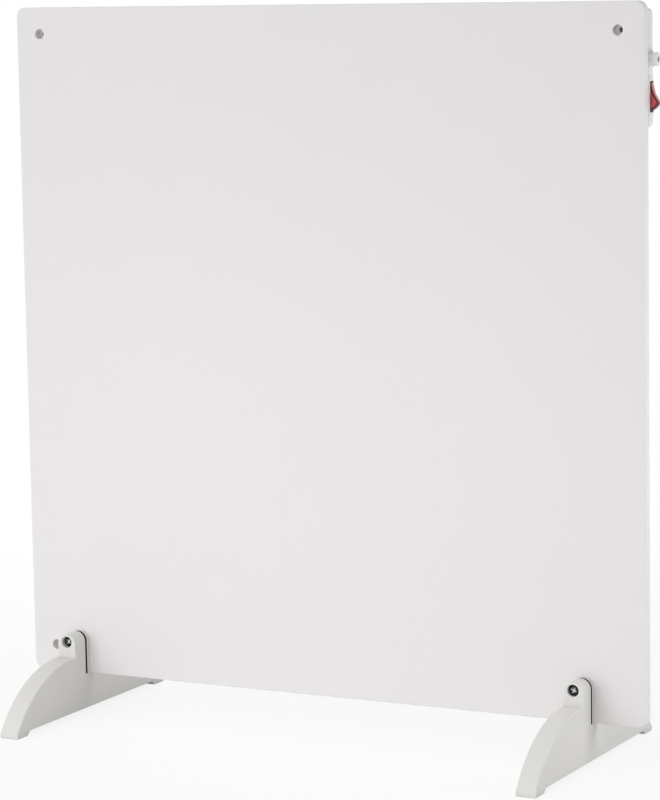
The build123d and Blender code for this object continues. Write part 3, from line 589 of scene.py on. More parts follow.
@dataclass(frozen=True)
class PadFinishWithPaintedShade(Finish):
    """Plastic of a pressure pad, with painted shade: its face towards the post is near black, as
    the slit in front of it is dark.

    Attributes:
        shaded_face_y: where the face towards the post lies, in millimetres; in front of it the
            colour is painted shade.
        painted_shade_colour: the colour of that painted shade, linear.
    """

    shaded_face_y: float = -7.7
    painted_shade_colour: Triple = (0.05, 0.05, 0.048)

    def base_colour(self, sheet: NodeSheet) -> Socket:
        """Blend from the plastic's colour to the painted shade colour in front of the face towards
        the post.

        Args:
            sheet: the material's nodes.

        Returns:
            The colour's socket.
        """
        place = sheet.add("ShaderNodeSeparateXYZ", {"Vector": sheet.object_point()})
        # Painted shade: near black where the pad faces the post, as shade in the slit between
        # them.
        in_painted_shade = sheet.math("LESS_THAN", place.outputs["Y"], self.shaded_face_y * MM)
        return sheet.blend(in_painted_shade, super().base_colour(sheet), (*self.painted_shade_colour, 1.0))


@dataclass(frozen=True)
class LensFinish(Finish):
    """Clear coloured plastic: it lets light through and has a polished skin.

    Attributes:
        clearness: share of the light that goes through.
        ior: how strongly it bends the light.
    """

    clearness: float = 0.35
    ior: float = 1.49

    def clear_inputs(self) -> Inputs:
        """Return the shader's values for clear plastic."""
        return {"Transmission Weight": self.clearness, "IOR": self.ior}


BOARD_PAINT = Finish(
    "board_paint", (0.826, 0.802, 0.808), 0.42, drift=0.015, drift_scale=5.0,
    grain_scale=420.0, grain_depth=0.012, swell=1.2,
)
# Corner and gap values in these finishes paint shade into inner corners and deep, narrow gaps.
WHITE_PLASTIC = Finish("white_plastic", (0.81, 0.81, 0.79), 0.40, corner_shade=0.06)
SPACER_PLASTIC = Finish("spacer_plastic", (0.93, 0.93, 0.92), 0.45, gap=0.97)
FOOT_PLASTIC = Finish(
    "foot_plastic", (0.755, 0.745, 0.715), 0.46, grain_scale=1900.0, grain_depth=0.008,
    corner_shade=0.25, gap=0.95,
)
PAD_PLASTIC = Finish(
    "pad_plastic", (0.74, 0.735, 0.71), 0.72, grain_scale=2600.0, grain_depth=0.015,
    corner_shade=0.2, gap=0.95,
)
# The pressure pad's face towards the post is painted near black, as shade in the slit.
PRESSURE_PLASTIC = PadFinishWithPaintedShade(
    "pressure_plastic", (0.755, 0.75, 0.72), 0.5, grain_scale=1900.0, grain_depth=0.008,
    corner_shade=0.15,
)
FACING_RUBBER = Finish("facing_rubber", (0.58, 0.57, 0.55), 0.85, grain_depth=0.02)
ZINC = Finish(
    "zinc", (0.36, 0.36, 0.37), 0.28, grain_depth=0.004, corner_shade=0.3, metallic=1.0,
    pattern=Pattern.STREAKS, pattern_scale=2600.0,
)
BLACK_ZINC = Finish(
    "black_zinc", (0.03, 0.031, 0.034), 0.2, grain_depth=0.003, metallic=1.0, coat=0.2,
    pattern=Pattern.STREAKS, pattern_scale=2600.0,
)
# A brighter zinc on the recess walls of the screws, which paints glints into the cross.
GLINT_ZINC = Finish(
    "zinc_painted_glint", (0.8, 0.8, 0.81), 0.34, grain_depth=0.004, metallic=0.9,
    pattern=Pattern.STREAKS, pattern_scale=2600.0,
)
BRASS = Finish("brass", (0.48, 0.30, 0.09), 0.32, grain_depth=0.004, metallic=1.0)
TIN = Finish("tin", (0.45, 0.45, 0.44), 0.36, grain_depth=0.004, metallic=1.0)
ELEMENT_FOIL = Finish(
    "element_foil", (0.27, 0.26, 0.24), 0.35, metallic=1.0,
    pattern=Pattern.STREAKS, pattern_scale=1500.0,
)
MAT = Finish(
    "mat", (0.57, 0.54, 0.45), 0.9, grain_depth=0.12,
    pattern=Pattern.WEAVE, pattern_scale=420.0,
)
INSULATION = Finish(
    "insulation", (0.48, 0.39, 0.23), 0.8, grain_depth=0.03,
    pattern=Pattern.FIBRES, pattern_scale=900.0,
)
BLACK_PLASTIC = Finish("black_plastic", (0.022, 0.022, 0.023), 0.42)
BLOCK_PLASTIC = Finish("block_plastic", (0.64, 0.60, 0.50), 0.48)
CUTOUT_CASE = Finish("cutout_case", (0.45, 0.45, 0.46), 0.33, metallic=1.0)
RED_WIRE = Finish("red_wire", (0.17, 0.032, 0.01), 0.38, grain_depth=0.004)
BLUE_WIRE = Finish("blue_wire", (0.01, 0.04, 0.26), 0.38, grain_depth=0.004)
WHITE_SLEEVE = Finish(
    "white_sleeve", (0.69, 0.67, 0.6), 0.7, grain_depth=0.06,
    pattern=Pattern.WEAVE, pattern_scale=1400.0,
)
ROCKER_RED = LensFinish(
    "rocker_red", (0.66, 0.04, 0.045), 0.14, roughness_swing=0.03, grain_depth=0.001,
    gap=0.97, coat=0.6, clearness=0.12,
)
# A darker copy of the rocker's red, which paints shade on its thick edges and flanks.
ROCKER_SHADED_RED = LensFinish(
    "rocker_red_painted_shade", (0.1, 0.002, 0.005), 0.3, roughness_swing=0.03, grain_depth=0.001,
    gap=0.97, clearness=0.05,
)
LAMP_GLASS = LensFinish(
    "lamp_glass", (0.95, 0.82, 0.7), 0.05, roughness_swing=0.02, grain_depth=0.0,
    clearness=0.9,
)


# Meshes


def add_to_scene(name: str, data: bpy.types.ID) -> bpy.types.Object:
    """Make an object and link it to the scene.

    Args:
        name: the object's name.
        data: its mesh, lamp or camera.

    Returns:
        The new object.
    """
    made = bpy.data.objects.new(name, data)
    bpy.context.scene.collection.objects.link(made)
    return made


class Bench:
    """Turns vertices and faces into finished pieces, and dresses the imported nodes.

    Attributes:
        CREASE: edges whose faces turn by more than this stay crisp.
        MOST_CORNERS: a face that has more after a cut is divided.
        SPECK: edges shorter than this many millimetres are closed up after a cut.
    """

    CREASE: ClassVar[float] = math.radians(32.0)
    MOST_CORNERS: ClassVar[int] = 4
    SPECK: ClassVar[float] = 1e-4

    @staticmethod
    def dress(node: str, finish: Finish) -> bpy.types.Object:
        """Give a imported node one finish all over.

        Args:
            node: the node's name.
            finish: the finish that it gets.

        Returns:
            The node's object.
        """
        found = frame["nodes"][node]
        found.data.materials.clear()
        found.data.materials.append(finish.material())
        return found

    @staticmethod
    def piece(
        name: str, mesh: bmesh.types.BMesh, finishes: Sequence[Finish], place: Matrix
    ) -> bpy.types.Object:
        """Make a scene object from a mesh drawn in millimetres.

        Args:
            name: the piece's name.
            mesh: the mesh; it is freed.
            finishes: the finishes that its faces point at.
            place: from the drawing's axes to the heater's, in millimetres.

        Returns:
            The new object.
        """
        bmesh.ops.recalc_face_normals(mesh, faces=mesh.faces)
        for face in mesh.faces:
            face.smooth = True
        for edge in mesh.edges:
            if edge.is_manifold and edge.calc_face_angle(0.0) > Bench.CREASE:
                edge.smooth = False
        data = bpy.data.meshes.new(name)
        mesh.to_mesh(data)
        mesh.free()
        data.transform(Matrix.Scale(MM, 4) @ place)
        for finish in finishes:
            data.materials.append(finish.material())
        return add_to_scene(name, data)

    @staticmethod
    def bridge(
        mesh: bmesh.types.BMesh,
        near: Sequence[bmesh.types.BMVert],
        far: Sequence[bmesh.types.BMVert],
    ) -> None:
        """Join two closed rings by a band of faces.

        Args:
            mesh: the mesh that holds both.
            near: the first ring; one vertex alone is a point that the faces run out in.
            far: the second ring, with as many vertices, or one.
        """
        steps = max(len(near), len(far))
        for step in range(steps):
            after = (step + 1) % steps
            corners = (
                near[step % len(near)], near[after % len(near)],
                far[after % len(far)], far[step % len(far)],
            )
            mesh.faces.new(tuple(dict.fromkeys(corners)))

    @staticmethod
    def lofted(rings: Sequence[Sequence[Triple]]) -> bmesh.types.BMesh:
        """Draw a closed shape through rings of points, with a face over each end.

        Args:
            rings: the rings from one end to the other, each with as many points.

        Returns:
            The closed mesh.
        """
        mesh = bmesh.new()
        loops = [[mesh.verts.new(point) for point in ring] for ring in rings]
        for near, far in zip(loops, loops[1:]):
            Bench.bridge(mesh, near, far)
        mesh.faces.new(loops[0])
        mesh.faces.new(loops[-1][::-1])
        return mesh

    @staticmethod
    def turned(
        profile: Profile, segments: int, carve: Carve | None = None
    ) -> bmesh.types.BMesh:
        """Turn a profile round the local Z axis.

        Args:
            profile: (height, radius) pairs from one end to the other; radius 0 closes an end.
            segments: facets round the axis.
            carve: how much of the radius is cut away at a height and a share of the turn.

        Returns:
            The closed mesh.
        """
        mesh = bmesh.new()
        rings: list[list[bmesh.types.BMVert]] = []
        for height, radius in profile:
            ring = []
            for step in range(segments if radius > 0.0 else 1):
                share = step / segments
                angle = FULL_TURN * share
                reach = radius - (carve(height, share) if carve and radius > 0.0 else 0.0)
                point = (reach * math.cos(angle), reach * math.sin(angle), height)
                ring.append(mesh.verts.new(point))
            rings.append(ring)
        for low, high in zip(rings, rings[1:]):
            Bench.bridge(mesh, low, high)
        return mesh

    @staticmethod
    def join(mesh: bmesh.types.BMesh, more: bmesh.types.BMesh) -> None:
        """Add a second mesh to a first one.

        Args:
            mesh: the mesh that grows.
            more: the mesh that is added; it is freed.
        """
        loose = bpy.data.meshes.new("bench_loose")
        more.to_mesh(loose)
        more.free()
        mesh.from_mesh(loose)
        bpy.data.meshes.remove(loose)

    @staticmethod
    def carved(body: bmesh.types.BMesh, tool: bmesh.types.BMesh) -> bmesh.types.BMesh:
        """Cut a tool's shape out of a body.

        Args:
            body: the closed mesh that is cut; it is freed.
            tool: the closed mesh that is taken away; it is freed.

        Returns:
            The cut mesh.
        """
        objects = []
        for name, mesh in (("bench_body", body), ("bench_tool", tool)):
            bmesh.ops.recalc_face_normals(mesh, faces=mesh.faces)
            data = bpy.data.meshes.new(name)
            mesh.to_mesh(data)
            mesh.free()
            objects.append(add_to_scene(name, data))
        cut = objects[0].modifiers.new("cut", "BOOLEAN")
        cut.object = objects[1]
        cut.operation = "DIFFERENCE"
        cut.solver = "EXACT"
        graph = bpy.context.evaluated_depsgraph_get()
        result = bmesh.new()
        result.from_mesh(objects[0].evaluated_get(graph).to_mesh())
        for made in objects:
            data = made.data
            bpy.data.objects.remove(made)
            bpy.data.meshes.remove(data)
        large = [face for face in result.faces if len(face.verts) > Bench.MOST_CORNERS]
        bmesh.ops.triangulate(result, faces=large, ngon_method="BEAUTY")
        bmesh.ops.dissolve_degenerate(result, edges=result.edges, dist=Bench.SPECK)
        return result


@dataclass
class CrossScrew:
    """A round-headed screw with a tapered cross recess and a rolled thread, head towards -Z.

    Attributes:
        head_r: radius of the head.
        head_h: height of the head.
        head_round: radius of the head's outer rim.
        shank_r: outer radius of the thread.
        length: from the head's face to the end of the thread.
        pitch: of the thread.
        thread_depth: of the thread.
        recess: length, width and depth of the cross recess.
        tail: (height, radius) pairs of a plain end, from the end of the thread on.
        segments: facets round the screw.
        rows_per_turn: rings of vertices in one turn of the thread.
        FACE_RING: share of the head's flat face inside its ring of vertices.
        RIM_STEPS: points on the head's round rim.
        NECK: how much wider than the thread the neck under the head is.
        POINT: height and inset of the chamfer that ends a screw with no tail.
        RUN_OUT: share of the pitch over which the thread fades in and out.
        MOUTH: height, and shares of length and width, at which the recess's cutter starts.
        TAPER: shares of depth, length and width further down the recess.
        SKIN: how far inside the recess a face starts to take the second finish.
    """

    head_r: float
    head_h: float
    head_round: float
    shank_r: float
    length: float
    pitch: float
    thread_depth: float
    recess: Triple
    tail: Profile = ()
    segments: int = 48
    rows_per_turn: int = 8

    FACE_RING: ClassVar[float] = 0.5
    RIM_STEPS: ClassVar[int] = 8
    NECK: ClassVar[float] = 0.15
    POINT: ClassVar[Pair] = (0.4, 0.45)
    RUN_OUT: ClassVar[float] = 0.6
    MOUTH: ClassVar[Triple] = (-0.5, 1.06, 1.06)
    TAPER: ClassVar[tuple[Triple, ...]] = ((0.75, 0.62, 0.8), (1.0, 0.26, 0.6))
    SKIN: ClassVar[float] = 0.05

    def mesh(self) -> bmesh.types.BMesh:
        """Draw the screw; the walls of its recess have the second finish, a brighter zinc that
        paints glints in the cross.

        Returns:
            The closed mesh, its head's face at height 0.
        """
        body = Bench.turned(self.profile(), self.segments, self.thread_cut)
        cut = Bench.carved(body, self.recess_tool())
        length, _, depth = self.recess
        for face in cut.faces:
            centre = face.calc_center_median()
            near_axis = math.hypot(centre.x, centre.y) < length / 2.0
            # The recess walls get the brighter zinc, a painted glint.
            face.material_index = int(near_axis and self.SKIN < centre.z < depth + self.SKIN)
        return cut

    def profile(self) -> list[Pair]:
        """Draw the screw's outline from the head's face to its end.

        Returns:
            (height, radius) pairs.
        """
        flat = self.head_r - self.head_round
        outline = [(0.0, 0.0), (0.0, flat * self.FACE_RING), (0.0, flat)]
        for step in range(1, self.RIM_STEPS + 1):
            angle = math.radians(90.0 * step / self.RIM_STEPS)
            outline.append((
                self.head_round * (1.0 - math.cos(angle)),
                flat + self.head_round * math.sin(angle),
            ))
        outline += [(self.head_h, self.head_r), (self.head_h, self.shank_r + self.NECK)]
        threaded = self.length - self.head_h
        rows = int(threaded / self.pitch * self.rows_per_turn)
        outline += [(self.head_h + threaded * row / rows, self.shank_r) for row in range(rows + 1)]
        tail = self.tail or ((self.POINT[0], self.shank_r - self.POINT[1]),)
        outline += [(self.length + height, radius) for height, radius in tail]
        return outline + [(outline[-1][0], 0.0)]

    def thread_cut(self, height: float, share: float) -> float:
        """Work out how deep the thread is cut.

        Args:
            height: distance from the head's face.
            share: share of the turn round the screw.

        Returns:
            The depth of the cut.
        """
        run = min(height - self.head_h, self.length - height)
        if run <= 0.0:
            return 0.0
        phase = (height / self.pitch - share) % 1.0
        groove = 1.0 - abs(2.0 * phase - 1.0)
        return self.thread_depth * groove * min(1.0, run / (self.RUN_OUT * self.pitch))

    def recess_tool(self) -> bmesh.types.BMesh:
        """Draw the tapered cross that is cut into the head.

        Returns:
            The closed mesh of the cutter.
        """
        length, width, depth = self.recess
        stations = [self.MOUTH]
        stations += [(depth * down, along, across) for down, along, across in self.TAPER]
        rings = []
        for height, along, across in stations:
            arm = length / 2.0 * along
            half = width / 2.0 * across
            ring = []
            for quarter in range(4):
                turn = Matrix.Rotation(math.radians(90.0 * quarter), 3, "Z")
                for corner in ((arm, -half, 0.0), (arm, half, 0.0), (half, half, 0.0)):
                    at = turn @ Vector(corner)
                    ring.append((at.x, at.y, height))
            rings.append(ring)
        return Bench.lofted(rings)


# Sub-assemblies


class SubAssembly:
    """A part of the heater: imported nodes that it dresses, and finer pieces that it makes.

    Attributes:
        FINISHES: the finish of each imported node.
    """

    FINISHES: ClassVar[dict[str, Finish]]

    def node(self, name: str) -> str:
        """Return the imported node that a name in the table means."""
        return name

    def pieces(self) -> list[bpy.types.Object]:
        """Make and return the finer pieces; most sub-assemblies have none."""
        return []

    def make(self) -> list[bpy.types.Object]:
        """Dress the nodes, make the finer pieces, and return the objects of both."""
        dressed = [Bench.dress(self.node(name), finish) for name, finish in self.FINISHES.items()]
        return dressed + self.pieces()


class PanelBoards(SubAssembly):
    """The double board: painted front and rear halves."""

    FINISHES = {"front_board": BOARD_PAINT, "rear_board": BOARD_PAINT}


class HeatingElement(SubAssembly):
    """The resistance strip between the boards, its mat and its two connections."""

    FINISHES = {
        "heating_element": ELEMENT_FOIL,
        "element_mat": MAT,
        "element_studs": TIN,
        "stud_nuts": TIN,
        "ring_terminals": TIN,
    }


class WallSpacers(SubAssembly):
    """The three spacers behind the wall holes."""

    FINISHES = {
        "standoff_top_left": SPACER_PLASTIC,
        "standoff_top_right": SPACER_PLASTIC,
        "standoff_bottom_left": SPACER_PLASTIC,
    }


@dataclass
class ControlHousing(SubAssembly):
    """The moulded shell behind the top right corner, with its four screws.

    Attributes:
        screw_x: the two columns of screws.
        screw_z: the two rows of screws.
        screw_top_y: the face of the screws' heads.
        first_turn: how the first screw is turned, in degrees.
        next_turn: how much further each next screw is turned.
        screw: one of the four.
    """

    screw_x: Pair = (193.5, 288.5)
    screw_z: Pair = (539.0, 622.0)
    screw_top_y: float = 12.3
    first_turn: float = 17.0
    next_turn: float = 31.0
    screw: CrossScrew = field(default_factory=lambda: CrossScrew(
        head_r=2.75, head_h=1.8, head_round=0.9, shank_r=1.5, length=10.2, pitch=0.5,
        thread_depth=0.3, recess=(3.0, 0.7, 1.0), segments=32, rows_per_turn=6,
    ))

    FINISHES = {
        "switch_housing": WHITE_PLASTIC,
        "housing_inserts": BRASS,
        "insulating_plate": INSULATION,
    }

    def pieces(self) -> list[bpy.types.Object]:
        """Make the four threaded screws, in place of the plain ones.

        Returns:
            The set of four as one piece.
        """
        together = bmesh.new()
        face_back = Matrix.Rotation(RIGHT_ANGLE, 4, "X")
        for index, (x, z) in enumerate(product(self.screw_x, self.screw_z)):
            turn = math.radians(self.first_turn + self.next_turn * index)
            at = Matrix.Translation((x, self.screw_top_y, z))
            place = at @ face_back @ Matrix.Rotation(turn, 4, "Z")
            one = self.screw.mesh()
            bmesh.ops.transform(one, verts=one.verts, matrix=place)
            Bench.join(together, one)
        piece = Bench.piece(
            "housing_screw_set", together, (ZINC, GLINT_ZINC), Matrix.Identity(4)
        )
        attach(piece, "panel")
        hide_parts("housing_screws")
        return [piece]


@dataclass
class RockerSwitch(SubAssembly):
    """The lit rocker switch in the panel's right side.

    The rocker is drawn round its pivot: u goes out through the face, w up along it.

    Attributes:
        width: of the rocker.
        flank_r: radius of the round flanks, about the pivot.
        face: distance of the face's two ends from the pivot, along u.
        dish: depth of the face's middle, where its two flats meet.
        flatness: 1 for two flats with a sharp middle, 2 for an even curve.
        back: where the rocker ends inside, along u.
        tilt: of the rocker at rest, in degrees, lower end out.
        rim: width of the thick edge round each clear side.
        bevel: width of the slope inside that edge.
        step: how far a clear side lies below its edge.
        round_r: radius of the outer edges.
        trunnion: radius and half length of the two trunnions.
        pocket: half width, depth along u and half length of the lamp's pocket.
        lip: width and height of the black lip round the opening.
        lip_top: share of the lip's width at which its flat top ends.
        opening: width and height of the opening.
        arc_steps: points on a flank.
        ROUND_AT: where the outer edges have points, in degrees.
        EDGE_SHARE: share of the step above which a face belongs to the thick edge.
        PIN_SEGMENTS: facets round a trunnion.
        OVERCUT: how far the pocket's cutter stands out at the back.
    """

    width: float = 5.4
    flank_r: float = 12.2
    face: float = 8.6
    dish: float = 1.3
    flatness: float = 1.25
    back: float = -3.0
    tilt: float = 22.5
    rim: float = 1.6
    bevel: float = 0.12
    step: float = 0.15
    round_r: float = 0.3
    trunnion: Pair = (1.2, 3.6)
    pocket: Triple = (1.6, 6.2, 7.5)
    lip: Pair = (0.55, 0.3)
    lip_top: float = 0.7
    opening: Pair = (6.0, 24.3)
    arc_steps: int = 14

    ROUND_AT: ClassVar[tuple[float, ...]] = (30.0, 60.0, 90.0)
    EDGE_SHARE: ClassVar[float] = 0.75
    PIN_SEGMENTS: ClassVar[int] = 24
    OVERCUT: ClassVar[float] = 1.0
    FINISHES = {
        "switch_bezel": WHITE_PLASTIC,
        "switch_body": BLACK_PLASTIC,
        "switch_terminals": BRASS,
        "neon_lamp": LAMP_GLASS,
    }

    def pieces(self) -> list[bpy.types.Object]:
        """Make and return the lens and the black lip."""
        return [self.make_lens(), self.make_lip()]

    def outline(self, inset: float) -> list[Pair]:
        """Draw the rocker's outline, drawn in by a distance.

        Args:
            inset: distance from the outer outline.

        Returns:
            (u, w) points, the same number at every inset.
        """
        reach = self.flank_r - inset
        face = self.face - inset
        back = self.back + inset
        first = math.acos(back / reach)
        last = math.acos(face / reach)
        steps = self.arc_steps
        flank = [first + (last - first) * step / steps for step in range(steps + 1)]
        points = [(reach * math.cos(angle), -reach * math.sin(angle)) for angle in flank]
        half = reach * math.sin(last)
        for step in range(1, steps):
            share = 2.0 * step / steps - 1.0
            sunk = self.dish * (1.0 - abs(share) ** self.flatness)
            points.append((face - sunk, half * share))
        flank.reverse()
        return points + [(reach * math.cos(angle), reach * math.sin(angle)) for angle in flank]

    def layers(self) -> list[Pair]:
        """Work out the rocker's layers from one clear side to the other.

        Returns:
            (inset, y) pairs.
        """
        half = self.width / 2.0
        side = [
            (self.rim + self.bevel, -half + self.step),
            (self.rim, -half),
            (self.round_r, -half),
        ]
        for degrees in self.ROUND_AT:
            angle = math.radians(degrees)
            side.append((
                self.round_r * (1.0 - math.sin(angle)),
                -half + self.round_r * (1.0 - math.cos(angle)),
            ))
        return side + [(inset, -y) for inset, y in reversed(side)]

    def lens_mesh(self) -> bmesh.types.BMesh:
        """Draw the rocker; the faces of its thick edges and flanks have the second finish, a
        darker copy of the red as painted shade.

        Returns:
            The closed mesh, round the pivot.
        """
        body = Bench.lofted([
            [(u, y, w) for u, w in self.outline(inset)] for inset, y in self.layers()
        ])
        cut = Bench.carved(body, self.pocket_tool())
        edge_y = self.width / 2.0 - self.EDGE_SHARE * self.step
        for face in cut.faces:
            centre = face.calc_center_median()
            on_flank = math.hypot(centre.x, centre.z) > self.flank_r - self.round_r
            # Thick edges and flanks get the darker red copy, a painted shade.
            face.material_index = int(abs(centre.y) > edge_y or on_flank)
        return cut

    def pocket_tool(self) -> bmesh.types.BMesh:
        """Draw what is cut out of the rocker to hold the lamp.

        Returns:
            The closed mesh of the cutter, round the pivot.
        """
        half, top, reach = self.pocket
        foot = self.back - self.OVERCUT
        corners = ((foot, -reach), (foot, reach), (top, reach), (top, -reach))
        return Bench.lofted([[(u, y, w) for u, w in corners] for y in (-half, half)])

    def pin_mesh(self, side: float) -> bmesh.types.BMesh:
        """Draw the trunnion on one side.

        Args:
            side: which way it points along Y, -1 or 1.

        Returns:
            The closed mesh, round the pivot.
        """
        radius, reach = self.trunnion
        root = self.width / 2.0 - self.step
        profile = [(root, 0.0), (root, radius), (reach, radius), (reach, 0.0)]
        pin = Bench.turned(profile, self.PIN_SEGMENTS)
        turn = Matrix.Rotation(-RIGHT_ANGLE * side, 4, "X")
        bmesh.ops.transform(pin, verts=pin.verts, matrix=turn)
        return pin

    def pivot(self) -> Vector:
        """Return the rocker's pivot in millimetres, as the joint has it."""
        tilting = next(joint for joint in frame["joints"] if joint["name"] == "rocker_tilt")
        return Vector(tilting["pos_m"]) / MM

    def make_lens(self) -> bpy.types.Object:
        """Make the lens with its thick edges, in place of the plain rocker.

        Returns:
            The piece.
        """
        mesh = self.lens_mesh()
        for side in (-1.0, 1.0):
            Bench.join(mesh, self.pin_mesh(side))
        tilted = Matrix.Rotation(math.radians(-self.tilt), 4, "Y")
        place = Matrix.Translation(self.pivot()) @ tilted
        piece = Bench.piece("rocker_lens", mesh, (ROCKER_RED, ROCKER_SHADED_RED), place)
        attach(piece, "rocker")
        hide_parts("switch_rocker")
        return piece

    def lip_mesh(self) -> bmesh.types.BMesh:
        """Draw the lip round the opening, on the outer face of the frame.

        Returns:
            The closed mesh, in the heater's axes.
        """
        low, high = (Vector(corner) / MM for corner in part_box("switch_bezel"))
        centre = (low + high) / 2.0
        width, height = self.lip
        half_y, half_z = (size / 2.0 for size in self.opening)
        mesh = bmesh.new()
        rings = []
        for grow, out in ((0.0, 0.0), (0.0, height), (width * self.lip_top, height), (width, 0.0)):
            rings.append([
                mesh.verts.new((
                    high.x + out,
                    centre.y + towards_y * (half_y + grow),
                    centre.z + towards_z * (half_z + grow),
                ))
                for towards_y, towards_z in ((-1, -1), (1, -1), (1, 1), (-1, 1))
            ])
        for near, far in zip(rings, rings[1:] + rings[:1]):
            Bench.bridge(mesh, near, far)
        return mesh

    def make_lip(self) -> bpy.types.Object:
        """Make the black lip that stands round the opening.

        Returns:
            The piece.
        """
        piece = Bench.piece("switch_lip", self.lip_mesh(), (BLACK_PLASTIC,), Matrix.Identity(4))
        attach(piece, "panel")
        return piece


class CordEntry(SubAssembly):
    """The gland in the side wall and the anchorage behind it."""

    FINISHES = {
        "cord_gland": WHITE_PLASTIC,
        "cord_saddle": BLOCK_PLASTIC,
        "cord_clamp": BLOCK_PLASTIC,
        "cord_clamp_screws": ZINC,
    }


class InnerWiring(SubAssembly):
    """What is wired up inside the housing: the block, the cut-out and the wires."""

    FINISHES = {
        "terminal_block": BLOCK_PLASTIC,
        "terminal_screws": BRASS,
        "thermal_cutout": CUTOUT_CASE,
        "cutout_clip": ZINC,
        "feed_wire": RED_WIRE,
        "load_wire": RED_WIRE,
        "neutral_wire": BLUE_WIRE,
        "lamp_wire": BLUE_WIRE,
        "element_wire": WHITE_SLEEVE,
    }


@dataclass
class ClampFoot(SubAssembly):
    """One foot with its end pads, clamp screw and pressure pad.

    Attributes:
        side: which foot it is.
        centre_x: the foot's middle.
        screw_turn: how the screw is turned at rest, in degrees.
        screw_out: how much longer the screw is drawn, and how far its head stands out for it.
        clamp_z: height of the screw's axis.
        head_y: the face of the screw's head.
        screw: the clamp screw.
    """

    side: Side
    centre_x: float
    screw_turn: float
    screw_out: float = 0.0
    clamp_z: float = 67.0
    head_y: float = -24.2
    screw: CrossScrew = field(default_factory=lambda: CrossScrew(
        head_r=4.5, head_h=3.4, head_round=2.0, shank_r=2.5, length=16.0, pitch=0.8,
        thread_depth=0.45, recess=(5.7, 1.2, 1.7),
        tail=((0.1, 1.6), (1.4, 1.6), (1.45, 2.2), (2.3, 2.2), (2.5, 1.9)),
    ))

    FINISHES = {
        "foot": FOOT_PLASTIC,
        "toe_pad": PAD_PLASTIC,
        "heel_pad": PAD_PLASTIC,
        "pressure_pad": PRESSURE_PLASTIC,
        "pad_facing": FACING_RUBBER,
        "clamp_nut": ZINC,
    }

    def node(self, name: str) -> str:
        """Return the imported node's name, which has the foot's side before it."""
        return f"{self.side.value}_{name}"

    def pieces(self) -> list[bpy.types.Object]:
        """Make the threaded clamp screw, in place of the plain one.

        Returns:
            The screw.
        """
        side = self.side.value
        screw = replace(self.screw, length=self.screw.length + self.screw_out)
        place = (
            Matrix.Translation((self.centre_x, self.head_y - self.screw_out, self.clamp_z))
            @ Matrix.Rotation(-RIGHT_ANGLE, 4, "X")
            @ Matrix.Rotation(math.radians(self.screw_turn), 4, "Z")
        )
        piece = Bench.piece(
            f"{side}_clamp_screw_threaded", screw.mesh(), (BLACK_ZINC, GLINT_ZINC), place
        )
        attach(piece, f"{side}_screw")
        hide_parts(f"{side}_clamp_screw")
        return [piece]


# Studio


@dataclass(frozen=True)
class SoftLight:
    """One rectangular studio lamp, out of the camera's sight.

    Attributes:
        name: the lamp's name.
        spot: where it hangs.
        aim: the point that it is turned to.
        size: width and height.
        power: in watts.
    """

    name: str
    spot: Triple
    aim: Triple
    size: Pair
    power: float

    def hang(self) -> None:
        """Hang the lamp and aim it."""
        lamp = bpy.data.lights.new(self.name, "AREA")
        lamp.shape = "RECTANGLE"
        lamp.size, lamp.size_y = self.size
        lamp.energy = self.power
        made = add_to_scene(self.name, lamp)
        made.location = self.spot
        towards = Vector(self.aim) - Vector(self.spot)
        made.rotation_euler = towards.to_track_quat("-Z", "Y").to_euler()
        made.visible_camera = False


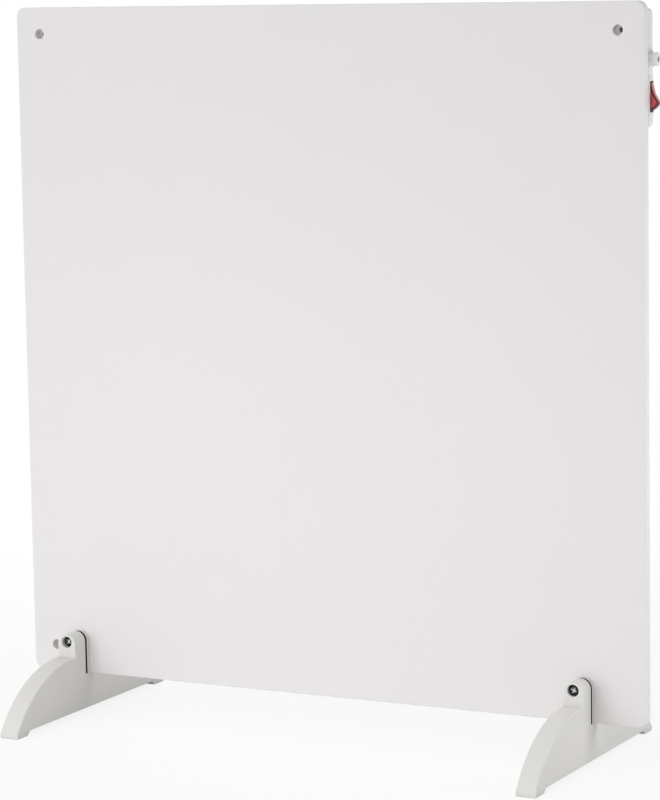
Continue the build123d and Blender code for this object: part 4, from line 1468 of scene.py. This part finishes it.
@dataclass
class Studio:
    """Floor, surroundings, lamps and camera.

    Attributes:
        floor_half: half the floor's side.
        floor_z: height of the floor, a hair under the feet.
        floor_grey: how pale the floor itself is, which the shadows lie on.
        floor_rough: its roughness.
        floor_gloss: its specular level.
        floor_white: how far the camera sees it as plain white, near the heater.
        floor_fade: distances over which that goes up to fully white.
        ambient: light from all round.
        sky: more light from its brightest side.
        sky_towards: where that side is.
        lens_mm: focal length.
        sensor_mm: width of the sensor.
        camera_mm: where the camera stands.
        camera_yaw: turn to the left, in degrees.
        camera_pitch: tilt down, in degrees.
        camera_roll: turn about the line of sight, in degrees.
        camera_reach: how far the camera sees.
        lamps: the lamps.
    """

    floor_half: float = 6.0
    floor_z: float = -0.0003
    floor_grey: float = 0.9
    floor_rough: float = 0.9
    floor_gloss: float = 0.1
    floor_white: float = 0.85
    floor_fade: Pair = (0.45, 1.3)
    ambient: float = 0.2
    sky: float = 0.89
    sky_towards: Triple = (-0.36, -0.8, 0.48)
    lens_mm: float = 142.871
    sensor_mm: float = 36.0
    camera_mm: Triple = (1254.041, -2408.254, 663.461)
    camera_yaw: float = 27.4632
    camera_pitch: float = 7.7091
    camera_roll: float = -0.98
    camera_reach: float = 50.0
    lamps: tuple[SoftLight, ...] = (
        SoftLight("key_lamp", (-1.0, -1.97, 1.47), (0.0, 0.0, 0.3), (0.7, 0.7), 3.6),
        SoftLight("right_lamp", (0.8, 0.12, 0.35), (0.3, 0.0, 0.3), (0.25, 0.45), 1.5),
        SoftLight("low_lamp", (-0.25, -0.9, 0.16), (-0.15, 0.0, 0.25), (1.0, 0.2), 1.42),
        SoftLight("back_lamp", (-0.9, 1.5, 0.55), (0.0, 0.0, 0.35), (0.8, 0.8), 12.0),
    )

    def make(self) -> None:
        """Set up the studio."""
        self.lay_floor()
        self.surround()
        for lamp in self.lamps:
            lamp.hang()
        self.set_camera()
        bpy.context.scene.view_settings.view_transform = "Standard"
        LOG.info("studio: floor, sky, camera and %d lamps", len(self.lamps))

    def lay_floor(self) -> None:
        """Lay the pale floor, which keeps the heater's shadow."""
        half = self.floor_half
        corners = [(-half, -half, 0.0), (half, -half, 0.0), (half, half, 0.0), (-half, half, 0.0)]
        data = bpy.data.meshes.new("studio_floor")
        data.from_pydata(corners, [], [(0, 1, 2, 3)])
        data.materials.append(self.floor_material())
        floor = add_to_scene("studio_floor", data)
        floor.location.z = self.floor_z

    def floor_material(self) -> bpy.types.Material:
        """Build the floor's finish: matt, but near white to the camera, and fully so far off.

        Returns:
            The floor's material.
        """
        material = bpy.data.materials.new("studio_floor")
        sheet = NodeSheet.cleared(material)
        grey = self.floor_grey
        matt = sheet.add(
            "ShaderNodeBsdfPrincipled",
            {
                "Base Color": (grey, grey, grey, 1.0),
                "Roughness": self.floor_rough,
                "Specular IOR Level": self.floor_gloss,
            },
        )
        white = sheet.add("ShaderNodeEmission", {"Color": WHITE, "Strength": 1.0})
        away = sheet.vector_math("LENGTH", {"#0": sheet.object_point()}).outputs["Value"]
        brought = sheet.spread(away, self.floor_white, 1.0, self.floor_fade)
        share = sheet.math("MULTIPLY", self.seen_directly(sheet), brought)
        mixed = sheet.add(
            "ShaderNodeMixShader", {"#0": share, "#1": matt.outputs[0], "#2": white.outputs[0]}
        )
        sheet.add("ShaderNodeOutputMaterial", {"Surface": mixed.outputs[0]})
        return material

    @staticmethod
    def seen_directly(sheet: NodeSheet) -> Socket:
        """Tell the rays that the background shows to from those that only light.

        Args:
            sheet: the nodes of the floor or the world.

        Returns:
            1 for rays from the camera, a reflection or through glass, else 0.
        """
        rays = sheet.add("ShaderNodeLightPath").outputs
        either = sheet.math("MAXIMUM", rays["Is Camera Ray"], rays["Is Glossy Ray"])
        return sheet.math("MAXIMUM", either, rays["Is Transmission Ray"])

    def surround(self) -> None:
        """Surround the heater with soft light, most of it from the upper front, on white."""
        world = bpy.data.worlds.new("studio")
        sheet = NodeSheet.cleared(world)
        way = sheet.add("ShaderNodeTexCoord").outputs["Generated"]
        facing = sheet.vector_math("DOT_PRODUCT", {"#0": way, "#1": self.sky_towards})
        lobe = sheet.math("MAXIMUM", facing.outputs["Value"], 0.0)
        soft = sheet.math("ADD", sheet.math("MULTIPLY", lobe, self.sky), self.ambient)
        strength = sheet.spread(self.seen_directly(sheet), soft, 1.0)
        air = sheet.add("ShaderNodeBackground", {"Color": WHITE, "Strength": strength})
        sheet.add("ShaderNodeOutputWorld", {"Surface": air.outputs[0]})
        bpy.context.scene.world = world

    def set_camera(self) -> None:
        """Set the camera where the photograph was taken from."""
        yaw = math.radians(self.camera_yaw)
        pitch = math.radians(self.camera_pitch)
        roll = math.radians(self.camera_roll)
        ahead = Vector((
            -math.sin(yaw) * math.cos(pitch), math.cos(yaw) * math.cos(pitch), -math.sin(pitch)
        ))
        level = Vector((math.cos(yaw), math.sin(yaw), 0.0))
        upright = level.cross(ahead)
        right = level * math.cos(roll) + upright * math.sin(roll)
        up = upright * math.cos(roll) - level * math.sin(roll)
        data = bpy.data.cameras.new("camera")
        data.lens = self.lens_mm
        data.sensor_width = self.sensor_mm
        data.clip_end = self.camera_reach
        camera = add_to_scene("camera", data)
        turn = Matrix((right, up, -ahead)).transposed().to_4x4()
        camera.matrix_world = Matrix.Translation(Vector(self.camera_mm) * MM) @ turn
        bpy.context.scene.camera = camera


def main() -> None:
    """Build the studio and the heater, and report each piece."""
    logging.basicConfig(level=logging.INFO, format="%(name)s: %(message)s")
    Studio().make()
    assemblies = (
        PanelBoards(),
        HeatingElement(),
        WallSpacers(),
        ControlHousing(),
        RockerSwitch(),
        CordEntry(),
        InnerWiring(),
        ClampFoot(Side.LEFT, centre_x=-255.0, screw_turn=38.0),
        ClampFoot(Side.RIGHT, centre_x=239.5, screw_turn=24.0, screw_out=2.0),
    )
    for assembly in assemblies:
        for piece in assembly.make():
            finishes = ", ".join(material.name for material in piece.data.materials)
            LOG.info("%s: %s in %s", type(assembly).__name__, piece.name, finishes)


if __name__ == "__main__":
    main()
